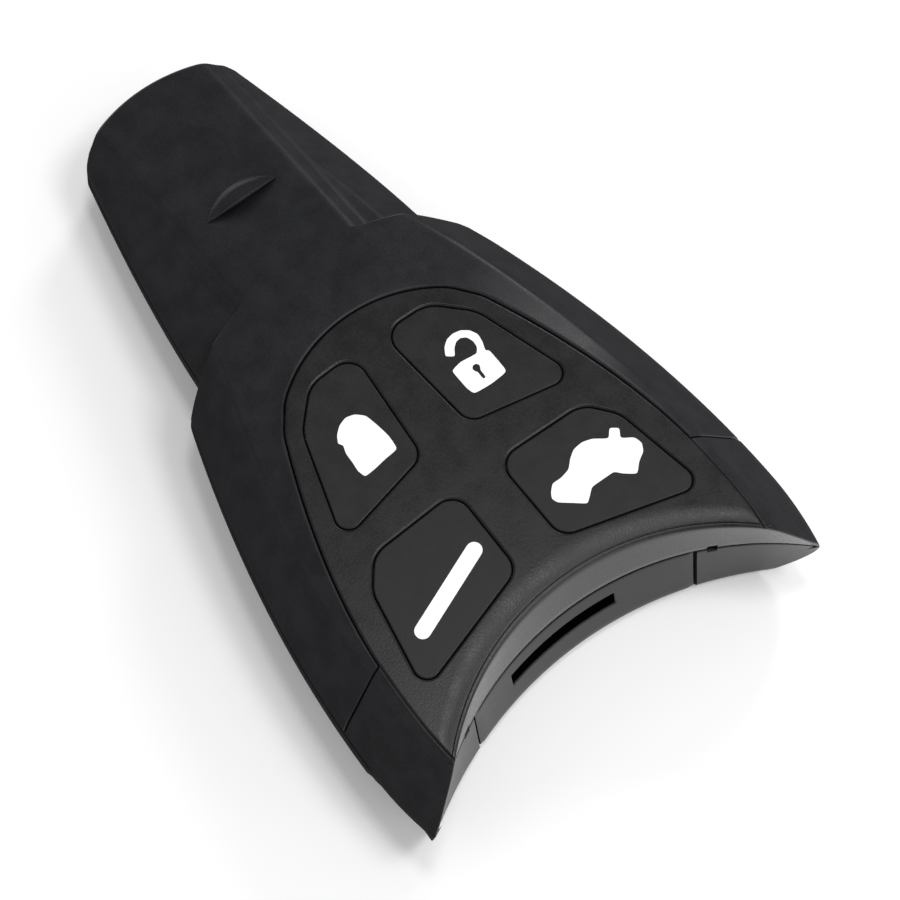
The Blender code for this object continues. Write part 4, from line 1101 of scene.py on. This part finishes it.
def blade_guide():
    skin = Skin()
    half = GUIDE_FACE_HALF - FIT_GAP
    across = closer_lines(-half, half, SLOT_SIDES, (8, 22, 12))
    up = [TAIL_BOTTOM_ROUND * (1 - math.sin(math.radians(a))) for a in (90, 75, 60, 45, 30, 15)]
    up += closer_lines(TAIL_BOTTOM_ROUND, lower_end(0.0), (SLOT_LOW, SLOT_HIGH), (5, 4, 3))
    grid = []
    for z in up:
        row = []
        for x in across:
            aside = max(SLOT_SIDES[0] - x, x - SLOT_SIDES[1], 0.0)
            off = max(SLOT_LOW - z, z - SLOT_HIGH, 0.0)
            drop = max(ease(math.hypot(aside, off), SLOT_EASE), ease(half - abs(x), LIP_EASE))
            row.append((x, tail_station(x, z) + drop, z))
        grid.append(row)
    low, high = up.index(SLOT_LOW), up.index(SLOT_HIGH)
    left, right = across.index(SLOT_SIDES[0]), across.index(SLOT_SIDES[1])
    for i, (lower, upper) in enumerate(zip(grid, grid[1:])):
        for j, corners in enumerate(zip(lower, lower[1:], upper[1:], upper)):
            if not (low <= i < high and left <= j < right):
                skin.face(corners)
    rim = (grid[low][left:right + 1] + [row[right] for row in grid[low + 1:high]]
           + grid[high][left:right + 1][::-1] + [row[left] for row in grid[low + 1:high]][::-1])
    skin.wall(closed(rim), lambda x, s, z: (x, SLOT_END, z))
    back = NOTCH_END - FIT_GAP
    for side in (0, -1):
        skin.wall([row[side] for row in grid], lambda x, s, z: (x, back, z))
    skin.wall(grid[0], lambda x, s, z: (x, back, 0.0))
    add_lip(skin, grid[-1], 1)
    skin.stand_for("blade_guide", GUIDE, "case", "guide_black", -1)


# Keys and their marks

def key_look(name, outline, centre):
    """A key with softened edges, its flange and the boss under it."""
    skin = Skin()
    outline = offset_outline(outline, KEY_GROWTH)
    inner = rounded_rim(skin, outline, KEY_EASE, THICKNESS - KEY_SINK, MAT_TOP, 1)
    skin.fill([inner], THICKNESS - KEY_SINK)
    flange = offset_outline(outline, KEY_FLANGE)
    skin.sheet([at_height(closed(loop), z)
                for loop, z in ((outline, MAT_TOP), (flange, MAT_TOP), (flange, MAT_BOTTOM))])
    boss = circle(*centre, BOSS_RADIUS, 12)
    skin.fill([flange, boss], MAT_BOTTOM)
    skin.sheet([at_height(closed(boss), z) for z in (MAT_BOTTOM, BOSS_BOTTOM)])
    skin.fill([boss], BOSS_BOTTOM)
    skin.turn_out()
    skin.finish(name + "_look", KEYS, name + "_key", "key_black", name + "_button", 50)


def printed_mark(key, *loops):
    """A mark printed on a key: a thin layer of white ink with its own edge."""
    skin = Skin()
    face = THICKNESS - KEY_SINK
    for loop in loops:
        skin.sheet([at_height(closed(loop), z) for z in (face + INK_HALF, face - INK_HALF)])
    skin.fill(loops, face + INK_HALF)
    skin.turn_out(1)
    skin.finish(key + "_mark", INK, key + "_key", "key_black", sharp=40)


def drawn(*points):
    """A closed outline from points in millimetres, with its corners cut back twice."""
    points = [(x / 1000, s / 1000) for x, s in points]
    for cut in (0.14, 0.22):
        points = [point for a, b in zip(points, points[1:] + points[:1])
                  for point in ((a[0] + (b[0] - a[0]) * cut, a[1] + (b[1] - a[1]) * cut),
                                (b[0] + (a[0] - b[0]) * cut, b[1] + (a[1] - b[1]) * cut))]
    return points


def capsule(start, end, radius):
    """A bar with round ends."""
    a, b = Vector(start), Vector(end)
    facing = math.atan2(b.y - a.y, b.x - a.x)
    loop = []
    for middle, turn in ((b, facing), (a, facing + math.pi)):
        for k in range(13):
            angle = turn - math.pi / 2 + math.pi * k / 12
            loop.append((middle.x + radius * math.cos(angle), middle.y + radius * math.sin(angle)))
    return loop


INK_HALF = 0.00002
# Corners of the marks, picked on the photograph and turned into millimetres on the keys
LOCK_MARK = drawn(
    (-8.55, 38.04), (-7.74, 38.74), (-6.73, 39.08), (-5.76, 38.81), (-4.92, 37.98), (-4.61, 36.44),
    (-4.39, 34.78), (-4.53, 33.12), (-6.17, 33.00), (-7.65, 32.78), (-8.96, 32.70), (-9.18, 33.64),
    (-9.05, 34.80), (-9.01, 35.93), (-8.69, 36.76), (-9.01, 37.26))
UNLOCK_MARK = drawn(
    (5.06, 36.57), (6.38, 36.82), (7.53, 36.64), (8.31, 36.56), (8.75, 37.10), (8.85, 37.84),
    (8.59, 38.60), (8.03, 38.96), (7.40, 38.89), (6.81, 38.43), (6.31, 37.65), (5.52, 38.26),
    (6.08, 39.15), (6.79, 39.68), (7.66, 39.83), (8.55, 39.64), (9.30, 39.06), (9.71, 38.22),
    (9.58, 37.28), (9.20, 36.30), (9.53, 36.02), (9.56, 34.63), (9.54, 33.07), (7.37, 32.96),
    (5.35, 33.16), (5.11, 34.09), (5.08, 35.40))
KEYHOLE = drawn(
    (7.10, 35.72), (7.50, 35.72), (7.72, 35.40), (7.62, 35.08), (7.46, 34.86), (7.44, 33.90),
    (7.08, 33.90), (7.10, 34.86), (6.94, 35.08), (6.86, 35.42))
TRUNK_MARK = drawn(
    (4.91, 19.93), (5.60, 20.58), (6.68, 20.53), (7.86, 20.78), (8.74, 21.62), (9.63, 22.19),
    (10.75, 22.28), (11.83, 21.95), (13.19, 20.91), (13.96, 21.80), (14.78, 21.18), (14.15, 20.24),
    (15.36, 19.44), (15.57, 18.51), (15.10, 17.68), (14.09, 17.13), (13.10, 16.17), (11.96, 17.08),
    (11.34, 17.80), (10.19, 17.84), (8.55, 17.88), (7.85, 17.30), (7.10, 16.73), (6.02, 17.65),
    (4.77, 18.67), (4.55, 19.33))
LIGHT_MARK = capsule((-0.0050, 0.0198), (-0.0142, 0.0162), 0.00085)


# Finishes

class Level:
    """A number that varies over a surface, used in plain sums, also after a plain number."""

    def __init__(self, finish, socket):
        self.finish = finish
        self.socket = socket

    def sum_with(self, operation, swapped, other):
        first, second = (other, self) if swapped else (self, other)
        return self.finish.add("ShaderNodeMath", {"operation": operation}, {0: first, 1: second})

    __add__ = partialmethod(sum_with, "ADD", False)
    __radd__ = partialmethod(sum_with, "ADD", True)
    __sub__ = partialmethod(sum_with, "SUBTRACT", False)
    __rsub__ = partialmethod(sum_with, "SUBTRACT", True)
    __mul__ = partialmethod(sum_with, "MULTIPLY", False)
    __rmul__ = partialmethod(sum_with, "MULTIPLY", True)
    __gt__ = partialmethod(sum_with, "GREATER_THAN", False)


class Finish:
    """A material and the nodes that make its detail."""

    def __init__(self, name, metallic=0.0, coat=0.0, specular=0.5):
        self.material = bpy.data.materials.new(name)
        self.material.use_nodes = True
        self.tree = self.material.node_tree
        self.shader = self.tree.nodes["Principled BSDF"]
        self.shader.inputs["Metallic"].default_value = metallic
        self.shader.inputs["Coat Weight"].default_value = coat
        self.shader.inputs["Specular IOR Level"].default_value = specular
        self.spot = self.add("ShaderNodeTexCoord", {}, {}, "Object")
        self.facing = self.add("ShaderNodeTexCoord", {}, {}, "Normal")

    def add(self, kind, settings, inputs, output=0):
        """Any node: its settings first, then the values or links of its sockets."""
        node = self.tree.nodes.new(kind)
        for setting, value in settings.items():
            setattr(node, setting, value)
        for name, value in inputs.items():
            self.feed(node.inputs[name], value)
        return Level(self, node.outputs[output])

    def feed(self, socket, value):
        if isinstance(value, Level):
            self.tree.links.new(value.socket, socket)
        elif value is not None:
            socket.default_value = value

    def noise(self, size, detail=2.0, stretch=(1.0, 1.0, 1.0)):
        """Soft cloudy variation from 0 to 1, its patches about the size given in metres."""
        spot = self.add("ShaderNodeVectorMath", {"operation": "MULTIPLY"},
                        {0: self.spot, 1: tuple(1 / (size * s) for s in stretch)})
        return self.add("ShaderNodeTexNoise", {}, {"Vector": spot, "Scale": 1.0, "Detail": detail})

    def axes(self, vector):
        return [self.add("ShaderNodeSeparateXYZ", {}, {"Vector": vector}, axis) for axis in "XYZ"]

    def ramp(self, value, low, high):
        """From 0 at low to 1 at high, and level beyond."""
        return self.add("ShaderNodeMapRange", {"interpolation_type": "SMOOTHSTEP"},
                        {"Value": value, "From Min": low, "From Max": high})

    def colours(self, share, low, high):
        return self.add("ShaderNodeMix", {"data_type": "RGBA"},
                        {"Factor": share, 6: (*low, 1.0), 7: (*high, 1.0)}, 2)

    def shades(self, share, colour, spread):
        """A colour that varies by a spread either way."""
        return self.colours(share, [c * (1 - spread) for c in colour], [c * (1 + spread) for c in colour])

    def mend(self, colour, rough, height=None, depth=0.00001, strength=0.5):
        """Sets what the surface shows, with a fine relief where a height is given."""
        self.feed(self.shader.inputs["Base Color"], colour)
        self.feed(self.shader.inputs["Roughness"], rough)
        if height is not None:
            bump = self.add("ShaderNodeBump", {}, {"Strength": strength, "Distance": depth, "Height": height})
            self.feed(self.shader.inputs["Normal"], bump)
        return self.material

    def dull_with_painted_light(self, share, colour):
        """Turns the surface by a share into one without gloss and with a flat colour of its own. That colour
        is painted light: a painted reflection on the flanks and painted shade inside the guide.
        """
        painted_flat = self.add("ShaderNodeBsdfPrincipled", {},
                        {"Base Color": colour, "Roughness": 0.8, "Specular IOR Level": 0.0})
        gloss = Level(self, self.shader.outputs[0])
        mixed = self.add("ShaderNodeMixShader", {}, {0: share, 1: gloss, 2: painted_flat})
        self.feed(self.tree.nodes["Material Output"].inputs["Surface"], mixed)


def moulded(name, colour, rough, grain=0.00022, depth=0.000016, side=None, inside=None, tail=0.3):
    """Spark-grained black moulding: a fine grain, slightly cloudy and a little polished by handling.

    The tail tells how much gloss the faces towards the tail have. Sides with a share and a colour lose that
    share of their gloss and take the lighter flat colour, a painted reflection. What lies higher than the
    inside height and doesn't face the tail is painted near-black, a painted shade."""
    finish = Finish(name, specular=0.15)
    fine = finish.noise(grain, 1.0)
    cloud = finish.noise(0.0026, 3.0)
    share = finish.ramp(0.6 * cloud + 0.4 * fine, 0.3, 0.7)
    tone = finish.shades(share, colour, 0.26)
    made = finish.mend(tone, rough + 0.16 * (cloud - 0.5) + 0.12 * (fine - 0.5), fine, depth, 0.45)
    across, along, _ = finish.axes(finish.facing)
    lean = across * across
    finish.feed(finish.shader.inputs["Coat Weight"], tail * finish.ramp(along, -0.3, -0.6))
    finish.shader.inputs["Coat Roughness"].default_value = 0.30
    # Steep flanks lose their gloss and take a lighter flat colour: a painted reflection.
    if side:
        painted_flank_share = finish.ramp(lean, 0.10, 0.30) * finish.ramp(along, -0.5, -0.2)
        finish.dull_with_painted_light(side[0] * painted_flank_share, finish.shades(share, side[1], 0.15))
    # Higher than the inside height and not facing the tail, the surface is painted near-black: painted shade
    # in the guide's slot.
    if inside:
        _, _, height = finish.axes(finish.spot)
        finish.dull_with_painted_light((height > inside) * (along > -0.3), finish.colours(share, [0.0006] * 3, [0.0012] * 3))
    return made


def metal(name, colour, rough, stretch=(1.0, 1.0, 1.0), grain=0.0003):
    """Metal with drawn or brushed marks along one way and faint spots of tarnish."""
    finish = Finish(name, metallic=1.0)
    marks = finish.noise(grain, 2.0, stretch)
    spots = finish.noise(0.0025, 2.0)
    tone = finish.colours(0.5 * marks + 0.5 * spots, [c * 0.72 for c in colour], colour)
    return finish.mend(tone, rough + 0.14 * (marks - 0.5) + 0.12 * (spots - 0.5), marks, 0.00001, 0.25)


def board_mask():
    """Solder mask with copper tracks under it and bare pads."""
    finish = Finish("board_mask", coat=0.3)
    tracks = finish.add("ShaderNodeTexVoronoi", {"feature": "F1", "distance": "CHEBYCHEV"},
                        {"Vector": finish.spot, "Scale": 520.0, "Randomness": 0.55})
    track = tracks > 0.62
    cloud = finish.noise(0.004, 2.0)
    tone = finish.colours(0.8 * track + 0.2 * cloud, (0.008, 0.085, 0.035), (0.016, 0.150, 0.060))
    return finish.mend(tone, 0.34 + 0.10 * cloud, track, 0.00002, 0.4)


def wound_copper():
    """Enamelled wire wound side by side round the aerial's core, its colour darker in the low grooves between
    the turns: painted shade.
    """
    finish = Finish("winding_enamel", metallic=1.0)
    turns = finish.add("ShaderNodeTexWave", {"wave_type": "BANDS", "bands_direction": "X"},
                       {"Vector": finish.spot, "Scale": 900.0, "Distortion": 0.0})
    cloud = finish.noise(0.002, 2.0)
    # Darker where the turns' relief is low: painted shade between the wires.
    tone = finish.colours(0.75 * turns + 0.25 * cloud, (0.20, 0.060, 0.020), (0.72, 0.30, 0.12))
    return finish.mend(tone, 0.34 + 0.15 * cloud, turns, 0.00008, 0.8)


def printed_ink():
    finish = Finish("printed_ink")
    fine = finish.noise(0.00025, 2.0)
    cloud = finish.noise(0.0012, 2.0)
    tone = finish.colours(0.5 * fine + 0.5 * cloud, (0.80, 0.80, 0.81), (0.92, 0.92, 0.92))
    return finish.mend(tone, 0.45 + 0.1 * cloud, fine, 0.000004, 0.3)


# The flanks' painted reflection: the share of gloss they lose and the lighter flat colour painted in its
# place
FLANK_PAINTED_REFLECTION = (0.94, (0.0235, 0.0235, 0.0250))
CASE = moulded("case_black", (0.0115, 0.0118, 0.0135), 0.37, side=FLANK_PAINTED_REFLECTION)
COVER = moulded("cover_black", (0.0118, 0.0119, 0.0126), 0.28, side=FLANK_PAINTED_REFLECTION, tail=0.5)
KEYS = moulded("key_black", (0.0115, 0.0116, 0.0126), 0.38, 0.00018)
# The guide is painted near-black above 0.9 mm where it doesn't face the tail: painted shade.
GUIDE = moulded("guide_black", (0.0115, 0.0116, 0.0122), 0.38, inside=0.0009, tail=0.25)
RUBBER = moulded("mat_rubber", (0.0130, 0.0130, 0.0140), 0.72, 0.00030)
CHIP = moulded("chip_black", (0.0130, 0.0130, 0.0140), 0.42, 0.00012)
FERRITE = moulded("ferrite", (0.0480, 0.0465, 0.0440), 0.62, 0.00035, 0.00003)
INK = printed_ink()
BOARD = board_mask()
COPPER = wound_copper()
CAN = metal("cell_steel", (0.58, 0.58, 0.57), 0.26, (1.0, 9.0, 1.0))
SWITCH = metal("switch_steel", (0.55, 0.55, 0.53), 0.34, (9.0, 1.0, 1.0))
BRASS = metal("contact_brass", (0.70, 0.53, 0.24), 0.30, (1.0, 8.0, 1.0))
SPRING = metal("spring_steel", (0.44, 0.44, 0.43), 0.34, (1.0, 1.0, 6.0), 0.0002)


def dress(finish, *nodes):
    """Gives CAD solids that stay in view their finish."""
    for node in nodes:
        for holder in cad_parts[node].material_slots:
            holder.material = finish


KEY_NAMES = ("unlock", "lock", "trunk", "light")
dress(GUIDE, "blade_latch", "release_button")
dress(RUBBER, "keypad_mat")
dress(BOARD, "circuit_board")
dress(CHIP, "controller_chip", "transponder", *(name + "_plunger" for name in KEY_NAMES))
dress(SWITCH, "crystal", *(name + "_switch" for name in KEY_NAMES))
dress(CAN, "coin_cell")
dress(BRASS, "positive_contact", "negative_contact")
dress(FERRITE, "aerial_core")
dress(COPPER, "aerial_winding")
dress(SPRING, "release_spring_left", "release_spring_right")

front_shell()
button_cover()
rear_shell()
blade_guide()
UPPER, LOWER = key_outline(UPPER_KEY), key_outline(LOWER_KEY)
key_look("unlock", UPPER, UPPER_SWITCH)
key_look("lock", mirrored(UPPER), mirrored([UPPER_SWITCH])[0])
key_look("trunk", LOWER, LOWER_SWITCH)
key_look("light", mirrored(LOWER), mirrored([LOWER_SWITCH])[0])
printed_mark("lock", LOCK_MARK)
printed_mark("unlock", UNLOCK_MARK, KEYHOLE)
printed_mark("trunk", TRUNK_MARK)
printed_mark("light", LIGHT_MARK)


# Studio

FLOOR_GLOW = 0.12
FLOOR_GAP = 0.00005


def area_lamp(name, spot, width, height, power):
    """A soft lamp that faces the fob."""
    lamp = bpy.data.lights.new(name, "AREA")
    lamp.shape = "RECTANGLE"
    lamp.size = width
    lamp.size_y = height
    lamp.energy = power
    holder = bpy.data.objects.new(name, lamp)
    bpy.context.scene.collection.objects.link(holder)
    holder.location = spot
    holder.rotation_euler = Vector(spot).to_track_quat("Z", "Y").to_euler()


def plain_floor():
    """A white floor that shows as white to the camera and in gloss, and keeps the fob's shadow."""
    mesh = bpy.data.meshes.new("floor")
    mesh.from_pydata([(-3, -3, 0), (3, -3, 0), (3, 3, 0), (-3, 3, 0)], [], [(0, 1, 2, 3)])
    floor = bpy.data.objects.new("floor", mesh)
    floor.location.z = -FLOOR_GAP
    bpy.context.scene.collection.objects.link(floor)
    finish = Finish("floor_white")
    seen, gloss, through = [finish.add("ShaderNodeLightPath", {}, {}, "Is " + kind + " Ray")
                            for kind in ("Camera", "Glossy", "Transmission")]
    cloud = finish.noise(0.3, 1.0)
    finish.mend(finish.colours(cloud, (0.80, 0.80, 0.80), (0.82, 0.82, 0.82)), 0.9)
    glow = finish.add("ShaderNodeEmission", {}, {"Color": (1.0, 1.0, 1.0, 1.0), "Strength": FLOOR_GLOW})
    plain = Level(finish, finish.shader.outputs[0])
    lit = finish.add("ShaderNodeAddShader", {}, {0: plain, 1: glow})
    shown = finish.add("ShaderNodeMixShader", {}, {0: seen + gloss + through, 1: plain, 2: lit})
    finish.feed(finish.tree.nodes["Material Output"].inputs["Surface"], shown)
    mesh.materials.append(finish.material)


plain_floor()
world = bpy.data.worlds.new("studio")
world.use_nodes = True
world.node_tree.nodes["Background"].inputs["Color"].default_value = (0.50, 0.50, 0.51, 1.0)
bpy.context.scene.world = world
area_lamp("tail_softbox", (0.12, -0.50, 0.20), 0.50, 0.16, 0.75)
area_lamp("panel_softbox", (0.16, -0.16, 0.47), 0.14, 0.14, 0.9)
area_lamp("panel_light", (0.062, 0.010, 0.47), 0.07, 0.07, 0.46)
area_lamp("ridge_lamp", (0.43, 0.24, 0.30), 0.12, 0.12, 0.90)

TARGET = Vector((-0.000411, -0.013255, 0.016))
TOWARDS_CAMERA = Vector((-0.2182, -0.2843, 0.9336)).normalized()
CAMERA_DISTANCE = 0.260
camera_data = bpy.data.cameras.new("camera")
camera_data.lens = 102.4
camera_data.sensor_width = 36
camera = bpy.data.objects.new("camera", camera_data)
bpy.context.scene.collection.objects.link(camera)
camera.location = TARGET + TOWARDS_CAMERA * CAMERA_DISTANCE
camera.rotation_euler = TOWARDS_CAMERA.to_track_quat("Z", "Y").to_euler()
bpy.context.scene.camera = camera
bpy.context.scene.view_settings.view_transform = "Standard"
